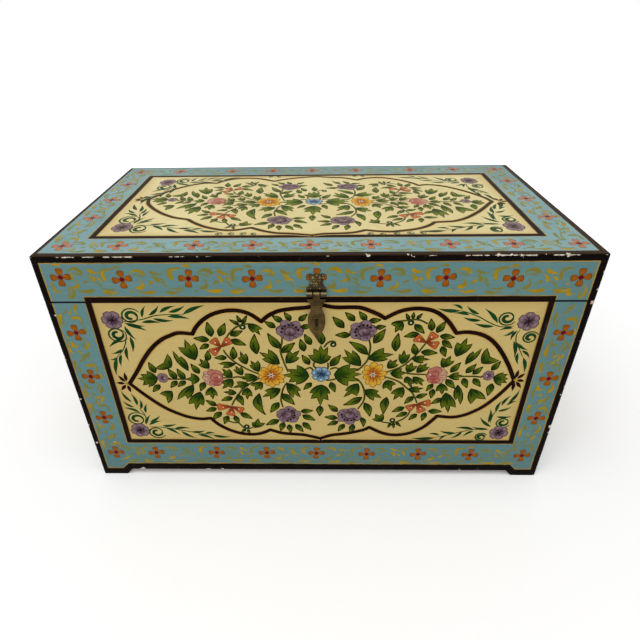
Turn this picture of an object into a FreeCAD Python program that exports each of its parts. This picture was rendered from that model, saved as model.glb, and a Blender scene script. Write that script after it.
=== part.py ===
import FreeCAD, Part
import math
import os

# A painted wooden trunk. A box of nailed boards stands on feet sawn from the boards themselves, and a
# shallow lid turns on two brass hinges at the back and is held shut at the front by a hasp and staple.
# Millimetres. X runs to the right, Y to the back and Z up, from the floor under the middle of the box.

Vector = FreeCAD.Vector

# Whole trunk
chest_width = 610.0
chest_depth = 330.0
chest_height = 343.0
lid_height = 56.5
seam_gap = 0.3
corner_round = 3.0
seam_round = 0.8

# Boards of the box
wall_thickness = 12.0
foot_height = 10.0
foot_length = 34.0
foot_slope = 9.0

# Bottom board on its cleats
bottom_thickness = 8.0
bottom_clearance = 0.5
cleat_width = 12.0
cleat_height = 10.0
cleat_rise = 1.0

# Lid
lid_top_thickness = 8.0
lid_top_round = 2.0

# Iron nails that hold the boards, sunk under the paint where the boards are painted
nail_radius = 1.2
nail_head_radius = 2.6
nail_head_height = 1.0
nail_tip = 4.0
nail_sink = 1.5
nail_clearance = 0.05
corner_nail_length = 40.0
corner_nail_shares = (0.14, 0.38, 0.62, 0.88)
cleat_nail_length = 18.0
cleat_nail_shares = (-0.7, -0.25, 0.25, 0.7)
cleat_end_nail_shares = (-0.55, 0.55)
bottom_nail_length = 15.0
bottom_nail_shares = (-0.9, -0.5, 0.0, 0.5, 0.9)
bottom_end_nail_shares = (-0.3, 0.3)
lid_corner_nail_shares = (0.25, 0.7)
lid_nail_length = 28.0
lid_nail_shares = (-0.93, -0.56, -0.19, 0.19, 0.56, 0.93)
lid_end_nail_shares = (-0.45, 0.45)

# Brass nails with round heads that hold the hinges and the hasp
brass_nail_radius = 0.9
brass_nail_head_radius = 1.9
brass_nail_head_height = 1.0
brass_nail_length = 9.0
brass_nail_tip = 2.5

# Outlines of the brass leaves, from the shoulder beside the neck to the middle of the far end, as shares of
# the half width and of the length past the neck. One point is a straight line to it, two points are an arc
# through the first to the second.
nailed_leaf_shares = (
    ((1.0, 0.10),),
    ((0.77, 0.22), (0.67, 0.42)),
    ((0.67, 0.62), (0.76, 0.80)),
    ((0.66, 0.95), (0.38, 0.92)),
    ((0.17, 0.93), (0.0, 1.0)),
)
hasp_leaf_shares = (
    ((0.97, 0.03),),
    ((0.71, 0.115), (0.61, 0.21)),
    ((0.68, 0.295), (0.85, 0.365)),
    ((0.95, 0.50), (0.87, 0.65)),
    ((0.74, 0.745), (0.53, 0.815)),
    ((0.24, 0.90), (0.0, 1.0)),
)

# Hinges on the back
hinge_inset = 115.0
hinge_width = 52.0
hinge_leaf_length = 30.0
hinge_leaf_thickness = 1.5
hinge_barrel_radius = 3.6
hinge_pin_radius = 1.7
hinge_middle_share = 0.44
hinge_nail_shares = ((0.0, 0.72), (-0.62, 0.20), (0.62, 0.20))

# Hasp on the front
hasp_width = 22.0
hasp_pin_rise = 11.5
hasp_plate_length = 24.0
hasp_plate_thickness = 1.2
hasp_leaf_width = 20.6
hasp_leaf_length = 55.0
hasp_leaf_thickness = 1.6
hasp_neck_drop = 3.2
hasp_barrel_radius = 3.4
hasp_pin_radius = 1.5
hasp_middle_share = 0.36
hasp_nail_shares = ((-0.34, 0.74), (0.34, 0.74), (0.0, 0.36))
hasp_slot_reach = 36.0

# Staple that the hasp drops over, driven through the front board and bent over inside
staple_wire_radius = 1.1
staple_span = 10.2
staple_projection = 7.0
staple_nose_bend = 2.6
staple_leg_bend = 1.5
staple_clench = 9.0

# Fits
barrel_standoff = 0.3
barrel_gap = 0.4
pin_clearance = 0.05
wire_clearance = 0.1
slot_side_clearance = 1.2
slot_end_clearance = 0.8
hasp_rest_clearance = 0.5
overrun = 5.0
same_place = 0.001

half_width = chest_width / 2
half_depth = chest_depth / 2
seam_height = chest_height - lid_height
rim_height = seam_height - seam_gap
inner_half_width = half_width - wall_thickness
inner_half_depth = half_depth - wall_thickness
lid_rail_top = chest_height - lid_top_thickness
hasp_pin_height = seam_height + hasp_pin_rise
hasp_slot_width = 2 * (staple_wire_radius + slot_side_clearance)
hasp_slot_length = staple_span + 2 * (staple_wire_radius + slot_end_clearance)
cleat_base = foot_height + cleat_rise
bottom_base = cleat_base + cleat_height
bottom_top = bottom_base + bottom_thickness
inward_from_front = Vector(0, 1, 0)
inward_from_rear = Vector(0, -1, 0)
downward = Vector(0, 0, -1)
upward = Vector(0, 0, 1)


def block(x_range, y_range, z_range):
    """A plain board between the low and high ends of its three ranges."""
    low = Vector(x_range[0], y_range[0], z_range[0])
    high = Vector(x_range[1], y_range[1], z_range[1])
    size = high - low
    return Part.makeBox(size.x, size.y, size.z, low)


def edges_in(shape, *planes):
    """The edges of a shape that lie in every plane named, each as an axis number and a place on it."""
    return [edge for edge in shape.Edges
            if all(abs(corner.Point[axis] - place) < same_place
                   for corner in edge.Vertexes for axis, place in planes)]


def turned_solid(profile, start, direction):
    """Turn a profile of (radius, depth) points and arcs round a line from start along direction."""
    edges = []
    for ends in profile:
        points = [Vector(radius, 0, depth) for radius, depth in ends]
        edges.append(Part.makeLine(*points) if len(points) == 2 else Part.Arc(*points).toShape())
    face = Part.Face(Part.Wire(edges))
    solid = face.revolve(Vector(0, 0, 0), upward, 360)
    solid.Placement = FreeCAD.Placement(start, FreeCAD.Rotation(upward, direction))
    return solid


def chain(points):
    """The straight runs that join a list of profile points, in order."""
    return list(zip(points, points[1:]))


def iron_nail(head_place, direction, length, grow=0):
    """A flat-headed nail whose head starts at head_place. Grown by a clearance, it is the nail's hole."""
    shank = nail_radius + grow
    head = nail_head_radius + grow
    points = [(0, -grow), (head, -grow), (head, nail_head_height + grow), (shank, nail_head_height + grow),
              (shank, length - nail_tip), (0, length + grow)]
    return turned_solid(chain(points + points[:1]), head_place, direction)


def brass_nail(head_place, direction):
    """A round-headed nail whose head stands on a brass leaf at head_place."""
    dome_share = math.sqrt(0.5)
    dome = ((0, -brass_nail_head_height),
            (brass_nail_head_radius * dome_share, -brass_nail_head_height * dome_share),
            (brass_nail_head_radius, 0))
    points = [(brass_nail_head_radius, 0), (brass_nail_radius, 0),
              (brass_nail_radius, brass_nail_length - brass_nail_tip), (0, brass_nail_length),
              (0, -brass_nail_head_height)]
    return turned_solid([dome] + chain(points), head_place, direction)


def brass_nail_hole(head_place, direction):
    """The hole of a brass nail through its leaf and into the board."""
    radius = brass_nail_radius + nail_clearance
    return Part.makeCylinder(radius, brass_nail_length + nail_clearance, head_place, direction)


def foot_gap(half_length):
    """The gap sawn out under a board between its two feet, drawn along X and right across Y."""
    floor_end = half_length - foot_length
    top_end = floor_end - foot_slope
    corners = [Vector(-floor_end, 0, 0), Vector(-top_end, 0, foot_height),
               Vector(top_end, 0, foot_height), Vector(floor_end, 0, 0)]
    face = Part.Face(Part.makePolygon(corners + corners[:1]))
    depth = chest_depth + chest_width
    gap = face.extrude(Vector(0, depth, 0))
    gap.translate(Vector(0, -depth / 2, 0))
    return gap


def long_board(side, low, high, seam_edge):
    """A front or rear board that covers the ends, its outer corners eased. side is -1 front, 1 rear."""
    outer = side * half_depth
    y_range = sorted((outer, side * inner_half_depth))
    board = block((-half_width, half_width), y_range, (low, high))
    corners = edges_in(board, (0, -half_width), (1, outer)) + edges_in(board, (0, half_width), (1, outer))
    board = board.makeFillet(corner_round, corners)
    return board.makeFillet(seam_round, edges_in(board, (1, outer), (2, seam_edge)))


def end_board(side, low, high, seam_edge):
    """An end board that fits between the front and rear boards. side is -1 left, 1 right."""
    outer = side * half_width
    x_range = sorted((outer, side * inner_half_width))
    board = block(x_range, (-inner_half_depth, inner_half_depth), (low, high))
    return board.makeFillet(seam_round, edges_in(board, (0, outer), (2, seam_edge)))


def corner_nails(low, high, shares):
    """Place and direction of the nails driven through a front and rear board into the ends' edges."""
    nail_x = half_width - wall_thickness / 2
    nail_y = half_depth - nail_sink
    places = []
    for share in shares:
        height = low + share * (high - low)
        for x in (-nail_x, nail_x):
            places.append((Vector(x, -nail_y, height), inward_from_front))
            places.append((Vector(x, nail_y, height), inward_from_rear))
    return places


def edge_nails(half_run_x, inset_x, half_run_y, inset_y, height, long_shares, end_shares):
    """Place and direction of nails driven down along the four sides of a bottom or lid board."""
    places = []
    for side in (-1, 1):
        for share in long_shares:
            places.append((Vector(share * half_run_x, side * inset_y, height), downward))
        for share in end_shares:
            places.append((Vector(side * inset_x, share * half_run_y, height), downward))
    return places


def cleat_nails():
    """Place and direction of the nails driven through the cleats into the walls."""
    height = cleat_base + cleat_height / 2
    face_x = inner_half_width - cleat_width
    face_y = inner_half_depth - cleat_width
    places = []
    for side in (-1, 1):
        for share in cleat_nail_shares:
            places.append((Vector(share * inner_half_width, side * face_y, height), Vector(0, side, 0)))
        for share in cleat_end_nail_shares:
            places.append((Vector(side * face_x, share * face_y, height), Vector(side, 0, 0)))
    return places


def iron_nails(places, length):
    """The nails at a list of places, and the holes that they sit in."""
    nails = [iron_nail(place, direction, length) for place, direction in places]
    holes = [iron_nail(place, direction, length, nail_clearance) for place, direction in places]
    return nails, holes


def leaf_outline(half_across, neck, length, steps):
    """The closed outline of a brass leaf in its own flat frame, from shares of its half width and length."""
    def place(share, mirror):
        return Vector(mirror * share[0] * half_across, neck + share[1] * (length - neck), 0)

    edges = [Part.makeLine(place((-1, 0), 1), place((1, 0), 1))]
    for mirror in (1, -1):
        start = place((1, 0), mirror)
        for step in steps:
            points = [start] + [place(share, mirror) for share in step]
            edges.append(Part.makeLine(*points) if len(points) == 2 else Part.Arc(*points).toShape())
            start = points[-1]
    return Part.Wire(Part.sortEdges(edges)[0])


def brass_leaf(width, neck, length, steps, thickness, lift, barrel_radius, bore_radius, spans):
    """A leaf lying flat: X across, Y away from the pin, Z out of the board, with its barrels rolled over."""
    pin_lift = barrel_standoff + barrel_radius
    plate = Part.Face(leaf_outline(width / 2, neck, length, steps)).extrude(Vector(0, 0, thickness))
    plate.translate(Vector(0, 0, lift))
    pieces = []
    for start, end in spans:
        pieces.append(block((start, end), (0, neck), (lift, lift + thickness)))
        pieces.append(Part.makeCylinder(barrel_radius, end - start, Vector(start, 0, pin_lift), Vector(1, 0, 0)))
    leaf = plate.fuse(pieces)
    bore = Part.makeCylinder(bore_radius, width + overrun, Vector(-(width + overrun) / 2, 0, pin_lift),
                             Vector(1, 0, 0))
    return leaf.cut(bore).removeSplitter()


def barrel_spans(width, middle_share):
    """The stretches along the pin of the two outer barrels, and of the middle one between them."""
    middle = width * middle_share / 2
    outer = [(-width / 2, -middle - barrel_gap / 2), (middle + barrel_gap / 2, width / 2)]
    return outer, [(-middle + barrel_gap / 2, middle - barrel_gap / 2)]


def face_frame(pin_place, away, outward):
    """The placement that stands a flat leaf on a face: its pin's foot, and the way it runs and faces."""
    across = away.cross(outward)
    return FreeCAD.Placement(FreeCAD.Matrix(
        across.x, away.x, outward.x, pin_place.x,
        across.y, away.y, outward.y, pin_place.y,
        across.z, away.z, outward.z, pin_place.z,
        0, 0, 0, 1))


def leaf_nails(frame, width, neck, length, thickness, shares):
    """The brass nails of a leaf and their holes, in the leaf's frame."""
    nails, holes = [], []
    for across_share, along_share in shares:
        place = Vector(across_share * width / 2, neck + along_share * (length - neck), thickness)
        head_place = frame.multVec(place)
        direction = frame.Rotation.multVec(downward)
        nails.append(brass_nail(head_place, direction))
        holes.append(brass_nail_hole(head_place, direction))
    return nails, holes


def pin(radius, width, place):
    """A hinge pin along X, as long as its row of barrels."""
    return Part.makeCylinder(radius, width, place - Vector(width / 2, 0, 0), Vector(1, 0, 0))


def staple_path(height):
    """The middle line of the staple wire: clenched inside, out through the board, round the nose and back."""
    outer_y = -half_depth - staple_projection + staple_wire_radius
    clench_y = -inner_half_depth + staple_leg_bend
    bend_share = 1 - math.sqrt(0.5)
    half_span = staple_span / 2

    def point(y, offset):
        return Vector(0, y, height + offset)

    edges = []
    for side in (1, -1):
        leg = side * half_span
        clench_end = point(clench_y, leg + side * (staple_leg_bend + staple_clench))
        bend_start = point(clench_y, leg + side * staple_leg_bend)
        bend_middle = point(clench_y - bend_share * staple_leg_bend, leg + side * bend_share * staple_leg_bend)
        leg_start = point(clench_y - staple_leg_bend, leg)
        nose_start = point(outer_y + staple_nose_bend, leg)
        nose_middle = point(outer_y + bend_share * staple_nose_bend, leg - side * bend_share * staple_nose_bend)
        nose_end = point(outer_y, leg - side * staple_nose_bend)
        half = [Part.makeLine(clench_end, bend_start), Part.Arc(bend_start, bend_middle, leg_start).toShape(),
                Part.makeLine(leg_start, nose_start), Part.Arc(nose_start, nose_middle, nose_end).toShape()]
        edges += half
    straight = half_span - staple_nose_bend
    edges.append(Part.makeLine(point(outer_y, straight), point(outer_y, -straight)))
    return Part.Wire(Part.sortEdges(edges)[0])


def staple(height):
    """The staple: one wire swept along its path."""
    path = staple_path(height)
    start = path.OrderedVertexes[0].Point
    along = path.OrderedEdges[0].tangentAt(path.OrderedEdges[0].FirstParameter)
    section = Part.Wire(Part.makeCircle(staple_wire_radius, start, along))
    return path.makePipeShell([section], True, True)


def staple_holes(height):
    """The two holes in the front board that the staple's legs pass through."""
    radius = staple_wire_radius + wire_clearance
    start_y = -half_depth - overrun
    return [Part.makeCylinder(radius, wall_thickness + 2 * overrun, Vector(0, start_y, height + offset),
                              inward_from_front) for offset in (-staple_span / 2, staple_span / 2)]


# Box: the front and rear boards cover the ends, and all four stand on the feet left between the sawn gaps
long_gap = foot_gap(half_width)
end_gap = foot_gap(half_depth)
end_gap.rotate(Vector(0, 0, 0), upward, 90)
front_board = long_board(-1, 0, rim_height, rim_height).cut(long_gap)
rear_board = long_board(1, 0, rim_height, rim_height).cut(long_gap)
left_end_board = end_board(-1, 0, rim_height, rim_height).cut(end_gap)
right_end_board = end_board(1, 0, rim_height, rim_height).cut(end_gap)

# Bottom board, dropped in on cleats round the inside
cleat_range = (cleat_base, bottom_base)
cleat_inner_y = inner_half_depth - cleat_width
cleat_inner_x = inner_half_width - cleat_width
front_cleat = block((-inner_half_width, inner_half_width), (-inner_half_depth, -cleat_inner_y), cleat_range)
rear_cleat = block((-inner_half_width, inner_half_width), (cleat_inner_y, inner_half_depth), cleat_range)
left_cleat = block((-inner_half_width, -cleat_inner_x), (-cleat_inner_y, cleat_inner_y), cleat_range)
right_cleat = block((cleat_inner_x, inner_half_width), (-cleat_inner_y, cleat_inner_y), cleat_range)
bottom_half_width = inner_half_width - bottom_clearance
bottom_half_depth = inner_half_depth - bottom_clearance
bottom_board = block((-bottom_half_width, bottom_half_width), (-bottom_half_depth, bottom_half_depth),
                     (bottom_base, bottom_top))

# Lid: four rails under a top board that covers them
lid_front_rail = long_board(-1, seam_height, lid_rail_top, seam_height)
lid_rear_rail = long_board(1, seam_height, lid_rail_top, seam_height)
lid_left_rail = end_board(-1, seam_height, lid_rail_top, seam_height)
lid_right_rail = end_board(1, seam_height, lid_rail_top, seam_height)
lid_top_board = block((-half_width, half_width), (-half_depth, half_depth), (lid_rail_top, chest_height))
lid_corners = [edge for x in (-half_width, half_width) for y in (-half_depth, half_depth)
               for edge in edges_in(lid_top_board, (0, x), (1, y))]
lid_top_board = lid_top_board.makeFillet(corner_round, lid_corners)
lid_top_board = lid_top_board.makeFillet(
    lid_top_round, edges_in(lid_top_board, (1, -half_depth), (2, chest_height)))

# Iron nails through the boards
box_nails, box_nail_holes = iron_nails(corner_nails(0, rim_height, corner_nail_shares), corner_nail_length)
cleat_nail_group, cleat_holes = iron_nails(cleat_nails(), cleat_nail_length)
bottom_nail_places = edge_nails(inner_half_width, inner_half_width - cleat_width / 2,
                                inner_half_depth, inner_half_depth - cleat_width / 2,
                                bottom_top, bottom_nail_shares, bottom_end_nail_shares)
bottom_nail_group, bottom_holes = iron_nails(bottom_nail_places, bottom_nail_length)
lid_nails, lid_nail_holes = iron_nails(
    corner_nails(seam_height, lid_rail_top, lid_corner_nail_shares), corner_nail_length)
lid_top_nail_places = edge_nails(inner_half_width, half_width - wall_thickness / 2,
                                 inner_half_depth, half_depth - wall_thickness / 2,
                                 chest_height - nail_sink, lid_nail_shares, lid_end_nail_shares)
lid_top_nail_group, lid_top_holes = iron_nails(lid_top_nail_places, lid_nail_length)

# Hinges: one leaf on the rear board and one on the lid's rear rail, turning on a pin behind the seam
hinge_outer, hinge_middle = barrel_spans(hinge_width, hinge_middle_share)
hinge_neck = hinge_barrel_radius + barrel_gap
hinge_sizes = (hinge_width, hinge_neck, hinge_leaf_length, nailed_leaf_shares, hinge_leaf_thickness, 0,
               hinge_barrel_radius, hinge_pin_radius + pin_clearance)
box_leaf = brass_leaf(*hinge_sizes, hinge_outer)
lid_leaf = brass_leaf(*hinge_sizes, hinge_middle)
hinge_axis_y = half_depth + barrel_standoff + hinge_barrel_radius
hinge_axis_z = seam_height - seam_gap / 2
outward_rear = Vector(0, 1, 0)
hinges = {}
hinge_box_nails, hinge_box_holes, hinge_lid_nails, hinge_lid_holes = [], [], [], []
for side_name, side in (("left", -1), ("right", 1)):
    hinge_x = side * (half_width - hinge_inset)
    foot = Vector(hinge_x, half_depth, hinge_axis_z)
    box_frame = face_frame(foot, downward, outward_rear)
    lid_frame = face_frame(foot, upward, outward_rear)
    nail_sizes = (hinge_width, hinge_neck, hinge_leaf_length, hinge_leaf_thickness, hinge_nail_shares)
    nails, holes = leaf_nails(box_frame, *nail_sizes)
    hinge_box_nails += nails
    hinge_box_holes += holes
    placed = box_leaf.copy()
    placed.Placement = box_frame
    hinges[side_name + "_hinge_box_leaf"] = placed.cut(holes)
    nails, holes = leaf_nails(lid_frame, *nail_sizes)
    hinge_lid_nails += nails
    hinge_lid_holes += holes
    placed = lid_leaf.copy()
    placed.Placement = lid_frame
    hinges[side_name + "_hinge_lid_leaf"] = placed.cut(holes)
    hinges[side_name + "_hinge_pin"] = pin(hinge_pin_radius, hinge_width,
                                           Vector(hinge_x, hinge_axis_y, hinge_axis_z))

# Hasp: a plate nailed to the lid's front rail and a slotted leaf that hangs from it
hasp_outer, hasp_middle = barrel_spans(hasp_width, hasp_middle_share)
hasp_bore = hasp_pin_radius + pin_clearance
hasp_foot = Vector(0, -half_depth, hasp_pin_height)
outward_front = Vector(0, -1, 0)
plate_frame = face_frame(hasp_foot, upward, outward_front)
hasp_plate_neck = hasp_barrel_radius + barrel_gap
hasp_plate_nails, hasp_plate_holes = leaf_nails(
    plate_frame, hasp_width, hasp_plate_neck, hasp_plate_length, hasp_plate_thickness, hasp_nail_shares)
hasp_plate = brass_leaf(hasp_width, hasp_plate_neck, hasp_plate_length, nailed_leaf_shares,
                        hasp_plate_thickness, 0, hasp_barrel_radius, hasp_bore, hasp_outer)
hasp_plate.Placement = plate_frame
hasp_plate = hasp_plate.cut(hasp_plate_holes)
hasp_axis_lift = barrel_standoff + hasp_barrel_radius
hasp_axis = Vector(0, -half_depth - hasp_axis_lift, hasp_pin_height)
hasp_pin = pin(hasp_pin_radius, hasp_width, hasp_axis)

# The hanging leaf is drawn flat against the box, where its slot is round the staple, then swung out until it
# just clears the staple's nose, which is how it lies when the trunk is shut but not fastened
hasp_leaf = brass_leaf(hasp_leaf_width, hasp_barrel_radius + hasp_neck_drop, hasp_leaf_length,
                       hasp_leaf_shares, hasp_leaf_thickness, barrel_standoff, hasp_barrel_radius, hasp_bore,
                       hasp_middle)
slot_end = hasp_slot_length / 2 - hasp_slot_width / 2
slot_depth = (barrel_standoff - overrun, barrel_standoff + hasp_leaf_thickness + overrun)
slot = block((-hasp_slot_width / 2, hasp_slot_width / 2),
             (hasp_slot_reach - slot_end, hasp_slot_reach + slot_end), slot_depth)
slot = slot.fuse([Part.makeCylinder(hasp_slot_width / 2, slot_depth[1] - slot_depth[0],
                                    Vector(0, hasp_slot_reach + end, slot_depth[0]), upward)
                  for end in (-slot_end, slot_end)])
hasp_leaf = hasp_leaf.cut(slot).removeSplitter()
hasp_leaf.Placement = face_frame(hasp_foot, downward, outward_front)
staple_height = hasp_pin_height - hasp_slot_reach
nose_reach = hasp_slot_reach - staple_span / 2 + staple_nose_bend
nose_rise = staple_projection + hasp_rest_clearance - hasp_axis_lift
hasp_rest_tilt = (math.atan2(hasp_barrel_radius, nose_reach)
                  + math.asin(nose_rise / math.hypot(nose_reach, hasp_barrel_radius)))
hasp_leaf.rotate(hasp_axis, Vector(-1, 0, 0), math.degrees(hasp_rest_tilt))

# Each board with the holes of what goes through it
lid_front_holes = lid_nail_holes + lid_top_holes + hasp_plate_holes
lid_rear_holes = lid_nail_holes + lid_top_holes + hinge_lid_holes
box_end_holes = box_nail_holes + cleat_holes
nodes = {
    "front_board": front_board.cut(box_end_holes + staple_holes(staple_height)),
    "rear_board": rear_board.cut(box_end_holes + hinge_box_holes),
    "left_end_board": left_end_board.cut(box_end_holes),
    "right_end_board": right_end_board.cut(box_end_holes),
    "front_cleat": front_cleat.cut(cleat_holes + bottom_holes),
    "rear_cleat": rear_cleat.cut(cleat_holes + bottom_holes),
    "left_cleat": left_cleat.cut(cleat_holes + bottom_holes),
    "right_cleat": right_cleat.cut(cleat_holes + bottom_holes),
    "bottom_board": bottom_board.cut(bottom_holes),
    "corner_nails": Part.makeCompound(box_nails),
    "cleat_nails": Part.makeCompound(cleat_nail_group),
    "bottom_nails": Part.makeCompound(bottom_nail_group),
    "staple": staple(staple_height),
    "hinge_box_nails": Part.makeCompound(hinge_box_nails),
    "lid_top_board": lid_top_board.cut(lid_top_holes),
    "lid_front_rail": lid_front_rail.cut(lid_front_holes),
    "lid_rear_rail": lid_rear_rail.cut(lid_rear_holes),
    "lid_left_rail": lid_left_rail.cut(lid_nail_holes + lid_top_holes),
    "lid_right_rail": lid_right_rail.cut(lid_nail_holes + lid_top_holes),
    "lid_corner_nails": Part.makeCompound(lid_nails),
    "lid_top_nails": Part.makeCompound(lid_top_nail_group),
    "hinge_lid_nails": Part.makeCompound(hinge_lid_nails),
    "hasp_plate": hasp_plate,
    "hasp_pin": hasp_pin,
    "hasp_plate_nails": Part.makeCompound(hasp_plate_nails),
    "hasp_leaf": hasp_leaf,
}
nodes.update(hinges)

os.makedirs("parts", exist_ok=True)
for name, shape in nodes.items():
    shape.exportStep("parts/" + name + ".step")
    print(name, len(shape.Solids), "solids", "valid" if shape.isValid() else "broken", round(shape.Volume, 1))
print("lid hinge axis", hinge_axis_y, hinge_axis_z)
print("hasp axis", tuple(hasp_axis), "rest tilt", round(math.degrees(hasp_rest_tilt), 3))
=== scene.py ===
import math
from functools import partialmethod

import bpy
from mathutils import Matrix, Vector


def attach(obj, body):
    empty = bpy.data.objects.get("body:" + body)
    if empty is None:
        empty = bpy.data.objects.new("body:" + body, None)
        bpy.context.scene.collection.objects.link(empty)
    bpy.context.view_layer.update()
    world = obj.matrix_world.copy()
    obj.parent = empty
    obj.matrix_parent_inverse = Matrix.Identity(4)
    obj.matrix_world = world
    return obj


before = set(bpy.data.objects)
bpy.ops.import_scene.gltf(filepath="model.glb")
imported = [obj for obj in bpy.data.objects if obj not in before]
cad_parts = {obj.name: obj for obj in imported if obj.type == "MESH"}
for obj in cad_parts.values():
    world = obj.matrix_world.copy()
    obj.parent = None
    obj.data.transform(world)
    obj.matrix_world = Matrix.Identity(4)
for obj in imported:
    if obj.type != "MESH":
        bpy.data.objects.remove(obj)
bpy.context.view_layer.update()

# Boards of the box and the lid
# Four boards nailed to a box, a top board and four rails nailed to a lid, all softwood. Outside they
# have a blue ground, cream panels and dark brushed lines over white gesso; inside the wood is bare.


class Shade:
    """A socket of a finish's node tree. Sums on it add Math nodes."""

    def __init__(self, tree, socket=None):
        self.tree = tree
        self.socket = socket

    def node(self, kind, settings, inputs, output=0):
        node = self.tree.nodes.new("ShaderNode" + kind)
        for name, value in settings.items():
            setattr(node, name, value)
        for name, value in inputs.items():
            if isinstance(value, Shade):
                self.tree.links.new(value.socket, node.inputs[name])
            else:
                node.inputs[name].default_value = value
        return Shade(self.tree, node.outputs[output])

    def sum(self, operation, other=0.0):
        return self.node("Math", {"operation": operation}, {0: self, 1: other})

    def __rsub__(self, other):
        return self.node("Math", {"operation": "SUBTRACT"}, {0: other, 1: self})

    __add__ = __radd__ = partialmethod(sum, "ADD")
    __sub__ = partialmethod(sum, "SUBTRACT")
    __mul__ = __rmul__ = partialmethod(sum, "MULTIPLY")
    __lt__ = partialmethod(sum, "LESS_THAN")
    __gt__ = partialmethod(sum, "GREATER_THAN")
    __abs__ = partialmethod(sum, "ABSOLUTE")
    least = partialmethod(sum, "MINIMUM")
    most = partialmethod(sum, "MAXIMUM")

    def rise(self, low, high):
        """0 below low, 1 above high, and a soft step between them"""
        return self.node("MapRange", {"interpolation_type": "SMOOTHSTEP"},
                         {"Value": self, "From Min": low, "From Max": high})

    def tint(self, first, second):
        """A colour that goes from first to second as this value goes from 0 to 1"""
        return self.node("Mix", {"data_type": "RGBA"}, {0: self, 6: first, 7: second}, 2)

    def axes(self):
        """X, Y and Z of a place"""
        return [self.node("SeparateXYZ", {}, {"Vector": self}, axis) for axis in range(3)]

    def stretched(self, scale):
        return self.node("Mapping", {}, {"Vector": self, "Scale": scale})

    def noise(self, scale, detail=3.0, roughness=0.55, stretch=(1, 1, 1)):
        """Noise over the places of a surface"""
        return self.node("TexNoise", {}, {"Vector": self.stretched(stretch), "Scale": scale,
                                          "Detail": detail, "Roughness": roughness})


def srgb(red, green, blue):
    """A colour as it is read off a screen, 0 to 255, as Blender's own numbers"""
    parts = [c / 255 for c in (red, green, blue)]
    parts = [c / 12.92 if c <= 0.04045 else ((c + 0.055) / 1.055) ** 2.4 for c in parts]
    return (*parts, 1.0)


def new_finish(name):
    """A new material, its shader, and the place on the object that its sums start from"""
    material = bpy.data.materials.new(name)
    material.use_nodes = True
    tree = material.node_tree
    return material, tree.nodes["Principled BSDF"], Shade(tree).node("TexCoord", {}, {}, "Object")


def feed(shader, socket, value):
    value.tree.links.new(value.socket, shader.inputs[socket])


def bump(shader, strength, distance, height):
    relief = {"Strength": strength, "Distance": distance, "Height": height}
    feed(shader, "Normal", height.node("Bump", {}, relief))


def give(finish, *names):
    """Puts a finish on CAD nodes"""
    for name in names:
        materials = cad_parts[name].data.materials
        materials.clear()
        materials.append(finish)


def bare_wood(place, along_y):
    """Colour and grain height of aged planed softwood, its grain along X, or along Y where along_y is 1"""
    x, y, z = place.axes()
    length = x + (y - x) * along_y
    width = y + (x - y) * along_y
    turned = place.node("CombineXYZ", {}, {"X": length, "Y": width, "Z": z})
    slow = turned.noise(2.2, 4.0, stretch=(1.6, 22.0, 22.0))
    rings = place.node("TexWave", {"wave_type": "BANDS", "bands_direction": "Z"},
                       {"Vector": turned.stretched((0.9, 9.0, 9.0)), "Scale": 3.4, "Distortion": 9.0,
                        "Detail": 2.0, "Detail Scale": 1.3})
    fibre = turned.noise(1.0, 2.0, stretch=(9.0, 420.0, 420.0))
    colour = rings.rise(0.15, 0.95).tint(srgb(168, 132, 88), srgb(142, 104, 64))
    colour = slow.rise(0.42, 0.72).tint(colour, srgb(120, 86, 54))
    colour = fibre.rise(0.55, 0.8).tint(colour, srgb(112, 80, 50))
    return colour, fibre


painted_boards, shader, place = new_finish("painted_boards")
x, y, z = [part * 1000 for part in place.axes()]

# The outer box in millimetres: half its length, half its depth, its height, and the seam under the lid. Half
# an end's length is less by end_shorter, and out_of_reach is farther than any edge.
half_long = 305
half_deep = 165
full_high = 343
seam_high = 286.35
end_shorter = half_long - half_deep
out_of_reach = 1000

# Distance of a point from the planes of the outer box, 0 on them and less inside
past_end = abs(x) - half_long
past_side = abs(y) - half_deep
past_top = z - full_high
depth = past_end.most(past_side).most(past_top)
on_end = past_end > past_side.most(past_top)
on_top = past_top > past_end.most(past_side)
on_side = 1 - on_end - on_top
on_front = y < 1 - half_deep
across = x + on_end * (y - x)
up = z + on_top * (y - z)

# Distance past the frame line of a panel. The brush wanders a little along each ruled line, and the top's
# panel is a little off its middle.
panel_half_long = 256.2
panel_half_high = 111.6
panel_middle = 177.8
wander = (place.noise(14.0) - 0.5) * 2.4 + (place.noise(90.0) - 0.5) * 1.1
past_panel_side = (abs(across - 1.5 * on_side + 1.6 * on_top)
                   - (panel_half_long - end_shorter * on_end - 1.6 * on_top))
past_panel_top = abs(up - panel_middle * (1 - on_top)) - (panel_half_high + 4.2 * on_top)
panel = past_panel_side.most(past_panel_top) + wander * 0.45

# Distance from the nearest edge of a face, feet included, scaled on each edge for its dark band's width
foot_long = 30.5
foot_high = 10
foot_slope = 0.111
half_length = half_long - end_shorter * on_end
foot = ((half_length - abs(across) - foot_long) * foot_slope).most(0.0).least(1.0)
above_floor = z - foot_high * foot + out_of_reach * on_top
from_left = (x + half_long) * (0.77 + 0.34 * on_top)
from_ends = from_left.least((half_long - x) * 0.74) + out_of_reach * on_end
from_front = (y + half_deep) * (0.85 - 0.04 * on_top)
from_sides = from_front.least((half_deep - y) * (0.85 + 0.58 * on_top)) + out_of_reach * on_side
from_top = (full_high - z) * 0.85 + out_of_reach * on_top
edge = from_ends.least(from_sides).least(from_top).least(above_floor * 0.56) + wander * 0.7

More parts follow.
